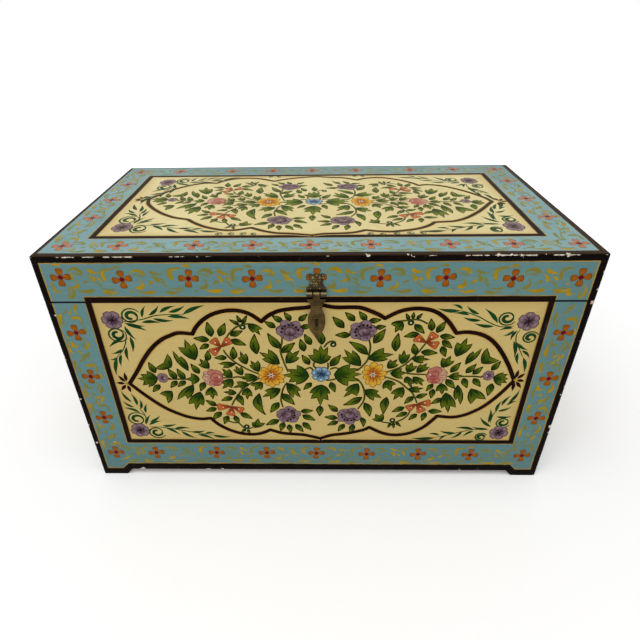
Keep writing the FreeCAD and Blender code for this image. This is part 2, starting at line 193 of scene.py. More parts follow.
# Blue ground and cream panel, brushed on in long streaks and gone uneven with age. On top of the lid both
# are painted paler as painted light.
streak_long = place.noise(1.0, stretch=(7.0, 7.0, 260.0))
streak_top = place.noise(1.0, stretch=(7.0, 260.0, 7.0))
streak = streak_long + on_top * (streak_top - streak_long)
cloud = place.noise(6.5, 4.0)
blot = place.noise(38.0, 4.0)
# Painted light: the blue starts paler on top of the lid than on the sides, as if the top were more lit
blue = on_top.tint(srgb(103, 140, 140), srgb(140, 169, 169))
blue = (cloud.rise(0.3, 0.7) * 0.5).tint(blue, srgb(98, 136, 140))
blue = (streak.rise(0.45, 0.75) * 0.22).tint(blue, srgb(130, 162, 156))
blue = (blot.rise(0.55, 0.80) * 0.6).tint(blue, srgb(90, 121, 114))
# The blue is darker towards the bottom and the right end of the box; on top of the lid it is painted darker
# towards the back as painted shade
low_right_darkening = (1 - z.rise(30.0, 110.0)).most(x.rise(230.0, 300.0) * 0.8) * (1 - on_top) * 0.25
blue = (low_right_darkening + on_top * y.rise(40.0, half_deep) * 0.2).tint(blue, srgb(80, 100, 95))
# Painted light: the cream starts paler on top of the lid than on the sides, as if the top were more lit
cream = on_top.tint(srgb(208, 184, 116), srgb(222, 209, 156))
cream = (cloud.rise(0.28, 0.72) * 0.4).tint(cream, srgb(198, 172, 108))
cream = (streak.rise(0.48, 0.78) * 0.22).tint(cream, srgb(222, 206, 152))
cream = (blot.rise(0.55, 0.84) * 0.5).tint(cream, srgb(192, 164, 100))
past_cream = panel.rise(-3.6, -3.2)
colour = past_cream.tint(cream, blue)
near_line = (panel + 3.4).rise(-16.0, 0.0) * (1 - past_cream)
colour = (near_line * 0.30).tint(colour, srgb(178, 138, 74))

# Dark brown frame line with a thin ochre line on each side, and dark bands along every edge
line_brown = blot.rise(0.35, 0.75).tint(srgb(20, 5, 2), srgb(30, 14, 6))
ochre = blot.rise(0.3, 0.7).tint(srgb(176, 144, 66), srgb(140, 118, 62))
colour = (1 - abs(panel).rise(4.1, 4.7)).tint(colour, ochre)
colour = (1 - abs(panel).rise(3.1, 3.5)).tint(colour, line_brown)
colour = ((1 - edge.rise(7.2, 7.7)) * (1 - on_top * 0.85)).tint(colour, ochre)
band = 1 - edge.rise(6.2, 6.7)
band_brown = blot.rise(0.35, 0.75).tint(srgb(8, 4, 3), srgb(18, 10, 8))
# Painted light: on top of the lid the dark bands are painted lighter and warmer, as painted sheen
band_brown = on_top.tint(band_brown, srgb(48, 33, 14))
colour = band.tint(colour, band_brown)
seam = 1 - abs(z - seam_high).rise(0.8, 1.5)
colour = (seam * (1 - on_top)).tint(colour, srgb(26, 15, 13))

# Dirt in the hollows of the brushwork and thin rubbed places
dirt = place.noise(130.0, 5.0, 0.7)
colour = (dirt.rise(0.60, 0.80) * 0.30).tint(colour, srgb(96, 78, 52))
rubbed = place.noise(1.0, 4.0, stretch=(60.0, 60.0, 9.0))
colour = (rubbed.rise(0.66, 0.80) * (1 - band) * 0.10).tint(colour, srgb(226, 220, 200))

# Painted shade: the wood is painted dark round the staple, where the hasp's slot lies in shade, and in the
# gap under the hasp's barrels
staple_high = 257
barrels_high = 301
shade_behind_staple = 1 - (abs(x) * 2.4).most(abs(z - staple_high)).rise(10.0, 14.0)
shade_under_barrels = 1 - abs(x).most(abs(z - barrels_high) * 1.4).rise(5.0, 6.5)
colour = (shade_behind_staple.most(shade_under_barrels) * on_front * 0.85).tint(colour, srgb(38, 29, 19))

# Chipped edges, down to the white gesso: small flakes on every edge, long ones on the lid's front edge, and
# a few nicks on the front
flake = place.noise(70.0, 4.0, 0.6) + (place.noise(9.0) - 0.5) * 0.4
chipped = (flake - edge * 0.030).rise(0.635, 0.65)
ragged = place.noise(190.0, 4.0) - 0.5
front_edge = ((y + half_deep) * 3.0).most(full_high - z) + ragged * 4.0
torn = 0.0
for start, end in ((-304, -302), (-277, -256), (-247, -234), (-225, -194), (-155, -138), (-126, -124),
                   (-116, -111), (-62, -60), (10, 13), (118, 125), (156, 229), (244, 273), (299, 305)):
    middle = (start + end) / 2
    half = (end - start) / 2
    torn = (1 - abs(x - middle + wander * 2).rise(half - 2, half + 1)) + torn
torn = torn.least(1.0) * (1 - front_edge.rise(1.2, 1.6))
nicks = 0.0
for along, high, reach in ((-300, 63, 1.7), (-291, 64, 1.9), (-275, 63, 2.3), (-297, 269, 1.4),
                           (-292, 267, 1.1), (-303, 205, 1.2), (-302, 142, 1.3), (-303, 96, 1.2),
                           (304, 322, 2.0), (303, 301, 1.7), (302, 284, 2.2), (303, 232, 1.0),
                           (302, 150, 1.2), (303, 84, 1.0)):
    nicks = (1 - (abs(x - along).most(abs(z - high)) + ragged * 2.5).rise(reach - 0.5, reach)) + nicks
nicks = nicks.least(1.0) * on_front
gesso = dirt.rise(0.4, 0.7).tint(srgb(218, 208, 192), srgb(182, 164, 138))
arris = abs(past_end).most(abs(y + half_deep)) + ragged * 4.0
rubbed_arris = (1 - arris.rise(0.8, 1.2)) * place.noise(34.0).rise(0.50, 0.56)
lost = chipped.most(torn).most(nicks).most(rubbed_arris)
colour = lost.tint(colour, gesso)

# Bare wood wherever the paint stops
wood, fibre = bare_wood(place, on_end)
bare = 1 - depth.rise(-4.2, -3.4)
rim_brown = depth.rise(-6.5, -4.0) * 0.7
wood = rim_brown.tint(wood, srgb(52, 34, 26))
colour = bare.tint(colour, wood)
paint_specular = 0.025
shader.inputs["Specular IOR Level"].default_value = paint_specular
feed(shader, "Base Color", colour)
paint_gloss = 0.40 + (blot - 0.5) * 0.25 + lost * 0.3 + dirt.rise(0.55, 0.8) * 0.15
feed(shader, "Roughness", paint_gloss + bare * (0.78 - paint_gloss))
bump(shader, 0.35, 0.0004, streak * 0.35 + blot * 0.25 - lost * 1.4 + bare * fibre * 0.6)
give(painted_boards, "front_board", "rear_board", "left_end_board", "right_end_board", "lid_top_board",
     "lid_front_rail", "lid_rear_rail", "lid_left_rail", "lid_right_rail")

# Bottom board and its cleats
# Plain planed softwood. The cleats are nailed inside the four boards and the bottom is dropped in on them
# and nailed down, so none of it was ever painted.
plain_wood, shader, place = new_finish("plain_wood")
colour, fibre = bare_wood(place, 0)
cloud = place.noise(9.0, 4.0)
colour = (cloud.rise(0.45, 0.75) * 0.5).tint(colour, srgb(98, 72, 48))
feed(shader, "Base Color", colour)
feed(shader, "Roughness", 0.72 + fibre * 0.18)
bump(shader, 0.4, 0.0004, fibre)
give(plain_wood, "bottom_board", "front_cleat", "rear_cleat", "left_cleat", "right_cleat")

# Iron nails
# Plain iron wire nails, dull and spotted with rust, driven through the boards, cleats and rails. Outside
# their heads are sunk and painted over.
dull_iron, shader, place = new_finish("dull_iron")
rust = place.noise(300.0, 5.0)
rusted = rust.rise(0.45, 0.7)
feed(shader, "Base Color", rusted.tint(srgb(72, 68, 66), srgb(104, 66, 44)))
feed(shader, "Roughness", 0.45 + rust * 0.35)
feed(shader, "Metallic", 1 - rusted)
give(dull_iron, "corner_nails", "cleat_nails", "bottom_nails", "lid_corner_nails", "lid_top_nails")

# Brass hinges, hasp and staple
# Sheet brass, cut to a shaped outline, rolled round a pin and nailed on; the staple is bent brass wire.
# Handling has left it dark brown in the hollows and dull gold where it is touched, on nail heads and pins.
# The hasp's barrels carry a painted highlight along their tops, and near-black lines by their gaps, partly
# dirt and partly painted shade.
hasp_pin_high = 298.0
middle_barrel_half = 3.96


def aged_brass(name, bright, dark, punched=False):
    """Tarnished brass, with rows of small punch marks where it is punched"""
    material, shader, place = new_finish(name)
    x, y, z = [part * 1000 for part in place.axes()]
    tarnish = place.noise(60.0, 5.0, 0.62)
    scratch = place.noise(1.0, stretch=(30.0, 300.0, 900.0))
    spots = place.noise(420.0)
    spotted = spots.rise(0.58, 0.72)
    colour = tarnish.rise(0.38, 0.68).tint(srgb(*bright), srgb(*dark))
    colour = (scratch.rise(0.56, 0.72) * 0.35).tint(colour, srgb(*[c + 46 for c in bright]))
    colour = (spotted * 0.55).tint(colour, srgb(44, 36, 26))
    # Painted highlight: a pale band along the tops of the hasp's barrels
    barrel_highlight = (1 - abs(z - (hasp_pin_high + 1.9)).rise(0.4, 1.3)) * (y < -half_deep - 5.3)
    colour = (barrel_highlight * 0.3).tint(colour, srgb(150, 134, 98))
    # Dirt and painted shade: near-black lines beside the gaps between the hasp's barrels
    on_barrels = (abs(z - hasp_pin_high) < 3.7) * (y < -half_deep - 0.2)
    dirt_and_shade_between_barrels = (abs(abs(x) - middle_barrel_half) < 0.8) * on_barrels
    colour = dirt_and_shade_between_barrels.tint(colour, srgb(16, 12, 8))
    height = tarnish * 0.5 + scratch * 0.3
    if punched:
        marks = place.node("TexVoronoi", {"feature": "F1"},
                           {"Vector": place.stretched((1.0, 0.05, 1.0)), "Scale": 310.0, "Randomness": 0.25})
        mark = (1 - marks.rise(0.22, 0.36)) * (z > hasp_pin_high + 4.5)
        colour = (mark * 0.75).tint(colour, srgb(178, 158, 112))
        height = height + mark * 1.6
    feed(shader, "Base Color", colour)
    feed(shader, "Roughness", 0.26 + tarnish * 0.24)
    feed(shader, "Metallic", 0.92 - spotted * 0.5)
    bump(shader, 0.3, 0.0003, height)
    return material


give(aged_brass("dark_brass", (84, 65, 32), (46, 35, 17)), "hasp_leaf", "left_hinge_box_leaf",
     "right_hinge_box_leaf", "left_hinge_lid_leaf", "right_hinge_lid_leaf")
# The staple has a darker brass as painted shade, for the shade inside the hasp's slot
give(aged_brass("staple_brass_in_shade", (48, 38, 22), (26, 20, 12)), "staple")
give(aged_brass("punched_brass", (76, 63, 38), (42, 35, 21), True), "hasp_plate")
give(aged_brass("rubbed_brass", (128, 108, 68), (88, 72, 44)), "hasp_plate_nails", "hinge_box_nails",
     "hinge_lid_nails", "hasp_pin", "left_hinge_pin", "right_hinge_pin")

# Brushwork on the painted faces
# Each face is painted freehand with a round brush in oil paint: dark outlines first, then the colours,
# then shadows, veins and dots. Each stroke is a thin raised body of paint on the board.


def paint(name, main, other, blended=False, top_light_share=0.04, top_light_tone=(204, 198, 146)):
    """Hand mixed paint: two tones that drift into each other, or run from a patch's root to its far edge,
    and turn a little towards a paler tone on top of the lid, as painted light"""
    material, shader, place = new_finish(name)
    drift = place.noise(70.0)
    hairs = place.noise(700.0)
    worn = place.noise(160.0, 4.0, 0.7)
    run = drift.rise(0.36, 0.64)
    if blended:
        reach = place.node("Attribute", {"attribute_name": "reach"}, {}, "Fac")
        run = (reach + (drift - 0.5) * 0.5 + (hairs - 0.5) * 0.5).rise(0.12, 0.88)
    colour = run.tint(srgb(*main), srgb(*other))
    dirty = [(c + d) / 2 for c, d in zip(other, (120, 100, 70))]
    colour = (worn.rise(0.60, 0.78) * 0.3).tint(colour, srgb(*dirty))
    height = place.node("SeparateXYZ", {}, {"Vector": place}, "Z")
    # Painted light: on top of the lid the paint is painted paler, towards the given tone, as if more lit
    top_light = height.rise((full_high - 0.5) / 1000, full_high / 1000) * top_light_share
    colour = top_light.tint(colour, srgb(*top_light_tone))
    shader.inputs["Specular IOR Level"].default_value = paint_specular
    feed(shader, "Base Color", colour)
    feed(shader, "Roughness", 0.42 + (hairs - 0.5) * 0.3)
    bump(shader, 0.25, 0.0002, hairs)
    return material


# Where given, a paint's last two values are how far it is painted paler on top of the lid, as painted light,
# and the tone it goes towards
paints = {
    "halo": paint("amber_glaze", (204, 171, 98), (196, 156, 82)),
    "brown": paint("line_brown", (22, 5, 2), (32, 13, 5)),
    "rim": paint("outline_green", (20, 19, 2), (30, 29, 4), False, 0.08),
    "stem": paint("stem_green", (78, 90, 18), (60, 72, 14), False, 0.1),
    "leaf": paint("leaf_green", (34, 64, 8), (96, 108, 14), True, 0.16, (168, 180, 84)),
    "leaf_dark": paint("leaf_shadow", (28, 58, 7), (22, 46, 7), False, 0.08, (168, 180, 84)),
    "sprig": paint("sprig_green", (15, 53, 23), (24, 69, 31)),
    "ochre": paint("scroll_ochre", (178, 142, 22), (152, 126, 34)),
    "thin_ochre": paint("scroll_thin_ochre", (136, 124, 48), (122, 122, 64)),
    "scroll_glaze": paint("scroll_glaze", (110, 138, 114), (116, 138, 104)),
    "orange": paint("petal_orange", (182, 106, 28), (146, 82, 14), True, 0.45, (202, 146, 122)),
    "red": paint("heart_red", (112, 16, 30), (92, 14, 24)),
    "vermilion": paint("fan_red", (144, 54, 22), (196, 100, 48), True, 0.1),
    "rust": paint("rust_brown", (104, 52, 22), (84, 42, 18)),
    "purple": paint("flower_purple", (78, 55, 65), (132, 107, 116), True, 0.05),
    "plum": paint("flower_plum", (56, 36, 42), (46, 30, 36), False, 0.1),
    "lilac": paint("flower_lilac", (150, 126, 126), (138, 114, 116)),
    "yellow": paint("flower_yellow", (192, 116, 22), (216, 168, 54), True),
    "amber": paint("flower_amber", (176, 98, 22), (156, 84, 20)),
    "pink": paint("rose_pink", (158, 76, 70), (186, 118, 98), True, 0.1),
    "pale_pink": paint("rose_pale", (176, 114, 94), (198, 154, 128), True),
    "rose": paint("rose_deep", (128, 52, 54), (108, 42, 46)),
    "blue": paint("flower_blue", (66, 98, 134), (120, 154, 172), True),
    "pale_blue": paint("flower_pale_blue", (170, 192, 196), (146, 172, 184)),
    "navy": paint("flower_navy", (34, 48, 78), (26, 38, 62)),
    "white": paint("dot_white", (230, 220, 202), (216, 204, 182)),
    "black": paint("dot_black", (26, 14, 16), (36, 22, 22)),
}

# The brush's section, 1 mm half wide: a low crown above and a shallow keel below
section = bpy.data.curves.new("brush_section", "CURVE")
section.dimensions = "2D"
outline = section.splines.new("POLY")
outline.points.add(3)
for point, (width, rise) in zip(outline.points, ((-1.0, 0.0), (0.0, -0.012), (1.0, 0.0), (0.0, 0.006))):
    point.co = (width / 1000, rise / 1000, 0, 1)
outline.use_cyclic_u = True
brush = bpy.data.objects.new("brush_section", section)
bpy.context.scene.collection.objects.link(brush)

# Height of each coat over the board in millimetres, and the coats that dry into one piece. A patch has a
# crown, its outline stands over its edge, and a patch on another lies a level higher.
coat_height = {"glaze": 0.012, "line": 0.03, "body": 0.05, "shadow": 0.16, "dot": 0.205}
coat_pieces = {"lines": ("glaze", "line"), "colours": ("body",), "lights": ("shadow", "dot")}
rim_over_patch = 0.014
patch_crown = 0.012
level_height = 0.02

# How the brush swells along a stroke, as shares of its half width
leaf_swell = (0.05, 0.50, 0.84, 1.0, 0.98, 0.83, 0.57, 0.28, 0.03)
drop_swell = (0.12, 0.64, 0.92, 1.0, 0.93, 0.72, 0.48, 0.28, 0.12)
scroll_swell = (0.08, 0.20, 0.37, 0.57, 0.79, 0.95, 1.0, 0.86, 0.25)
slim_swell = (0.10, 0.55, 0.90, 1.0, 0.92, 0.74, 0.50, 0.27, 0.05)
petal_swell = (0.30, 0.52, 0.74, 0.92, 1.0, 1.0, 0.90, 0.66, 0.10)
fan_swell = (0.06, 0.20, 0.35, 0.50, 0.65, 0.79, 0.92, 1.0, 0.74)
round_swell = (0.05, 0.50, 0.77, 0.94, 1.0, 0.94, 0.77, 0.50, 0.05)
broad_swell = (0.34, 0.50, 0.66, 0.80, 0.91, 0.98, 1.0, 0.90, 0.50)
round_steps = (-1.0, -0.87, -0.64, -0.34, 0.0, 0.34, 0.64, 0.87, 1.0)


def arc(start, end, bulge):
    """Nine points from start to end, swelling to the left of the way by bulge"""
    start = Vector(start)
    end = Vector(end)
    side = (end - start).orthogonal().normalized()
    return [start.lerp(end, step / 8) + side * (bulge * step / 2 * (1 - step / 8)) for step in range(9)]


def flowing(points):
    """A smooth line through the points, four steps from each to the next"""
    points = [Vector(p) for p in points]
    held = [points[0] * 2 - points[1]] + points + [points[-1] * 2 - points[-2]]
    line = []
    for before, start, end, after in zip(held, held[1:], held[2:], held[3:]):
        for share in (0, 0.25, 0.5, 0.75):
            square = (2 * before - 5 * start + 4 * end - after) * share ** 2
            cube = (3 * start - before - 3 * end + after) * share ** 3
            line.append(0.5 * (2 * start + (end - before) * share + square + cube))
    return line + [points[-1]]


def blade(start, end, half, swell, bend=0.0):
    """Outline of one press of the brush from start to end, as points round it"""
    path = arc(start, end, bend)
    side = (Vector(end) - Vector(start)).orthogonal().normalized() * half
    right = [point - side * share for point, share in zip(path, swell)]
    left = [point + side * share for point, share in zip(path, swell)]
    return right + left[::-1]


class Face:
    """A painted face of the trunk, with its strokes. Places on it are (across, up) in millimetres."""

    def __init__(self, name, body, middle, across, up):
        self.name = name
        self.body = body
        across = Vector(across)
        up = Vector(up)
        self.frame = Matrix((across, up, across.cross(up))).transposed().to_4x4()
        self.frame.translation = Vector(middle) / 1000
        self.fullness = 1.0
        self.strokes = []
        self.patches = []
        self.move()

    def move(self, scale=(1.0, 1.0), shift=(0.0, 0.0), lift=0.0):
        """Scales and shifts what is painted next, and tilts it up by lift where it is left of -40"""
        self.scale = scale
        self.shift = shift
        self.lift = lift

    def put(self, place):
        along = place[0] * self.scale[0] + self.shift[0]
        over = place[1] * self.scale[1] + self.shift[1]
        return Vector((along, over + self.lift * max(0.0, -40.0 - along)))

    def stroke(self, coat, colour, path, widths, raised=0.0):
        height = coat_height[coat] + raised
        self.strokes.append((coat, colour, [self.put(p) for p in path], widths, height))

    def line(self, coat, colour, points, half, tip=0.5, raised=0.0):
        """A smooth line that thins towards both ends"""
        path = flowing(points)
        last = len(path) - 1
        widths = [half * (tip + (1 - tip) * math.sin(math.pi * step / last) ** 0.6)
                  for step in range(last + 1)]
        self.stroke(coat, colour, path, widths, raised)

    def dab(self, coat, colour, place, half):
        """A round dab"""
        path = [Vector(place) + Vector((step * half, 0)) for step in round_steps]
        self.stroke(coat, colour, path, [half * share for share in round_swell])

    def lick(self, coat, colour, start, end, half, bulge=0.0, swell=leaf_swell):
        """One press of the brush from start to end"""
        self.stroke(coat, colour, arc(start, end, bulge), [half * share for share in swell])

    def patch(self, colour, outline, root, heart, rim, half, level=0):
        """A filled shape whose tone runs out from its root, with a line round it. A higher level lies on a
        lower one."""
        root = self.put(root)
        points = [self.put(p) for p in outline]
        heart = self.put(heart)
        far = max((p - root).length for p in points)
        reach = [(p - root).length / far for p in points + [heart]]
        raised = level_height * level
        self.patches.append((colour, points, heart, reach, coat_height["body"] + raised))
        widths = [half * (0.85 + 0.3 * math.sin(step * 0.9)) for step in range(len(outline) + 1)]
        self.stroke("body", rim, outline + [outline[0]], widths, raised + rim_over_patch)

    def fill(self, name, colours):
        """The filled shapes as one mesh: a low cone over each outline, closed below"""
        places = []
        faces = []
        reaches = []
        for colour, points, heart, reach, height in self.patches:
            first = len(places)
            count = len(points)
            top = first + count
            low = top + 1
            places += [(p.x / 1000, p.y / 1000, height / 1000) for p in points]
            places += [(heart.x / 1000, heart.y / 1000, (height + patch_crown) / 1000)]
            places += [(p.x / 1000, p.y / 1000, -0.00001) for p in points]
            reaches += reach + reach[:-1]
            shade = colours.index(colour)
            for here in range(count):
                after = (here + 1) % count
                faces.append(((first + here, first + after, top), shade))
                faces.append(((first + after, first + here, low + here, low + after), shade))
            faces.append((tuple(low + here for here in reversed(range(count))), shade))
        mesh = bpy.data.meshes.new(name)
        mesh.from_pydata(places, [], [corners for corners, shade in faces])
        for polygon, (corners, shade) in zip(mesh.polygons, faces):
            polygon.material_index = shade
        for colour in colours:
            mesh.materials.append(paints[colour])
        mesh.attributes.new("reach", "FLOAT", "POINT").data.foreach_set("value", reaches)
        filled = bpy.data.objects.new(name, mesh)
        bpy.context.scene.collection.objects.link(filled)
        return filled

    def lay(self):
        """Turns the strokes into solid paint on the board"""
        lowest = [min(p[axis] for s in self.strokes for p in s[2]) for axis in (0, 1)]
        highest = [max(p[axis] for s in self.strokes for p in s[2]) for axis in (0, 1)]
        span = max(highest[0] - lowest[0], highest[1] - lowest[1])
        for piece_name, coats in coat_pieces.items():
            strokes = [s for coat in coats for s in self.strokes if s[0] == coat]
            if not strokes:
                continue
            patches = self.patches if "body" in coats else []
            curve = bpy.data.curves.new(self.name + "_" + piece_name, "CURVE")
            curve.dimensions = "3D"
            curve.twist_mode = "Z_UP"
            curve.bevel_mode = "OBJECT"
            curve.bevel_object = brush
            curve.use_fill_caps = True
            colours = sorted({s[1] for s in strokes} | {p[0] for p in patches})
            for colour in colours:
                curve.materials.append(paints[colour])
            for coat, colour, path, widths, height in strokes:
                spline = curve.splines.new("POLY")
                spline.points.add(len(path) - 1)
                spline.material_index = colours.index(colour)
                for point, (along, over), width in zip(spline.points, path, widths):
                    point.co = (along / 1000, over / 1000, height / 1000, 1)
                    point.radius = width
            piece = bpy.data.objects.new(self.name + "_" + piece_name, curve)
            bpy.context.scene.collection.objects.link(piece)
            bpy.ops.object.select_all(action="DESELECT")
            piece.select_set(True)
            bpy.context.view_layer.objects.active = piece
            bpy.ops.object.convert(target="MESH")
            if patches:
                self.fill(self.name + "_patches", colours).select_set(True)
                bpy.ops.object.join()
            bpy.ops.object.shade_smooth_by_angle(angle=math.radians(40))
            flat_map = piece.data.uv_layers.new(name="OFBake")
            for loop in piece.data.loops:
                spot = piece.data.vertices[loop.vertex_index].co * 1000
                flat_map.data[loop.index].uv = [(spot[axis] - lowest[axis]) / span * 0.98 + 0.01
                                                for axis in (0, 1)]
            piece.data.transform(self.frame)
            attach(piece, self.body)


# Leaves and stems of the flower panel
# Green with a dark outline, dark at the stalk and olive at the points, with a darker streak. A plain leaf is
# one press of the brush from its stalk to its tip, and a lobed leaf has notches between its points.
leaf_rim_half = 0.78


def plain_leaf(face, start, end, half=None, bend=0.0):
    start = Vector(start)
    end = Vector(end)
    half = (half or 0.16 * (end - start).length + 1.0) * face.fullness
    side = (end - start).orthogonal().normalized() * half
    heart = arc(start, end, bend)[4]
    face.patch("leaf", blade(start, end, half, leaf_swell, bend), start, heart, "rim", leaf_rim_half)
    face.lick("shadow", "leaf_dark", start.lerp(end, 0.08) + side * 0.1, start.lerp(end, 0.64) + side * 0.3,
              half * 0.30, bend)


def lobed_leaf(face, base, *tips):
    base = Vector(base)
    tips = [Vector(tip) for tip in tips]
    heart = sum(tips, Vector((0, 0))) / len(tips)
    tips = [base.lerp(heart, 0.6).lerp(tip, face.fullness) for tip in tips]
    tips.sort(key=lambda tip: (heart - base).angle_signed(tip - base), reverse=True)
    first = (tips[0] - base).length
    last = (tips[-1] - base).length
    outline = arc(base, tips[0], -0.13 * first)[0:8:2]
    for tip, after in zip(tips, tips[1:]):
        notch = tip.lerp(after, 0.5).lerp(base, 0.27)
        outline += [tip, tip.lerp(notch, 0.55), notch, notch.lerp(after, 0.45)]
    outline += arc(tips[-1], base, -0.13 * last)[0:8:2]
    face.patch("leaf", outline, base, base.lerp(heart, 0.5), "rim", leaf_rim_half)
    for tip in tips[:3]:
        face.lick("shadow", "leaf_dark", base.lerp(tip, 0.06), base.lerp(tip, 0.62), 0.045 * first + 0.3, 0.4)


# Stalk and tip of each plain leaf, with its half width and bend where it is unusual
plain_leaves = (
    (-198, 185, -203, 201), (-173.5, 175, -181, 191), (-163.5, 174.5, -170, 191), (-144, 184, -152, 198.5),
    (-131, 204, -129, 218.5), (-126, 234.5, -143, 237), (-127, 228, -138, 221.5), (-196, 166, -206, 154.5),
    (-173.5, 172, -182.5, 161.5), (-163, 172, -173, 163), (-139.5, 170, -146, 156), (-129, 131, -141, 140),
    (-129.5, 126.5, -143, 121.5), (-124, 120, -136, 107), (-122.5, 239.5, -125, 259),
    (-113, 240, -105, 257.5), (-100, 241, -86, 247), (-100, 234.5, -83.5, 227), (-99.5, 206, -98.5, 224),
    (-108, 208.5, -122, 208), (-71.5, 214, -72, 242, 5.0, 1.5), (-43, 222, -56.5, 243.5, 4.5, 1.0),
    (-41.5, 216, -26, 230), (-47.5, 252, -59, 260), (-39, 259.5, -50, 268), (-29.5, 261.5, -36, 272),
    (-20, 261, -11, 269.5), (-18, 252, -6, 254), (-15, 218, -19, 235), (-7, 227.5, -14, 242),
    (-9, 198, -17.5, 212), (-107, 145, -121, 140), (-100, 150, -94.5, 132),
    (-72.5, 151.5, -67, 115.5, 5.3, -6.0), (-49, 136.5, -60, 119.5), (-44, 151.5, -29, 133),
    (-116, 113, -122, 99), (-107, 113, -103, 100), (-99, 118, -85, 108.5), (-50, 106, -67, 97),
    (-44, 101.5, -48.5, 86.5), (-37, 97.5, -35.5, 83.5), (-28, 98, -19, 84.5), (-18.5, 101.5, -8.5, 88),
    (-21, 121, -6, 122.5), (-19, 114.5, -3, 105.5), (-7, 169, -16.5, 158.5),
    (31, 251.5, 18.5, 266), (43, 261, 32.5, 272), (56, 261.5, 48, 273), (59.5, 260.5, 72.5, 262),
    (67.5, 251.5, 78.5, 253), (66.5, 229.5, 78.3, 249), (38.5, 241, 21.8, 241.3), (6, 228, 4.5, 246.5, 4.0),
    (60, 213, 38, 231.5, 4.6, -1.5), (92.5, 218, 94, 243, 4.5, 1.0), (117, 243, 101, 239),
    (111.5, 255.5, 123, 243.5), (131.5, 247, 129, 263), (16.3, 195.5, 28, 212), (116, 213, 113, 228.5),
    (122.8, 216.5, 141.5, 215), (137.5, 244.5, 145.5, 259.5), (142, 239.5, 158.5, 237.5),
    (145.5, 233, 157.5, 222.5), (146, 224.5, 151.5, 210), (161.5, 186, 171, 200.5), (180, 185, 190, 198),
    (188.5, 183, 198.5, 194), (210, 189, 218, 202.5), (17, 170, 22, 154.5),
    (56, 145.5, 33.5, 132.5, 4.6, 1.5), (60, 136, 67.5, 113, 4.4, 1.5), (87, 145.5, 85, 117.5, 4.8, -1.0),
    (26, 121, 14.5, 132.5), (3.5, 131, 3, 113.5, 4.0), (26, 109.5, 10, 111.5), (27, 103.5, 13.5, 97),
    (35, 98.5, 27.5, 86), (47, 98, 43.5, 83), (57, 110.5, 60, 94.5, 3.0, 1.5), (120, 147, 110.5, 135),
    (110.5, 128.5, 96, 121), (115, 119.5, 102, 112.5), (127.5, 117, 118.5, 107), (124, 145.5, 137, 151),
    (157.5, 174.5, 169.5, 160.5), (178, 176.5, 184.5, 161.5), (190.5, 176, 200.5, 163.5),
    (214, 168, 212.5, 148.5, 4.2), (142, 167, 135.5, 156.5), (143.5, 159, 142.5, 144.5),
    (156.5, 143.5, 144, 135), (142, 122, 158.5, 121.5), (138, 119.5, 135.5, 105.5),
    (-89, 256, -98.5, 262.5, 1.9), (-87, 259, -90, 268, 1.9), (-85, 257, -79, 268, 1.9),
    (104, 262.5, 100.5, 270, 1.7), (108.4, 264, 108.5, 271.5, 1.7), (113, 263.5, 118, 270, 1.7),
    (95.5, 100, 92.5, 93, 1.7), (99, 101, 100, 92, 1.7), (102.5, 102, 108.5, 95, 1.7),
    (-95, 89, -101, 83, 1.7), (-92, 88, -90, 81, 1.7),
)

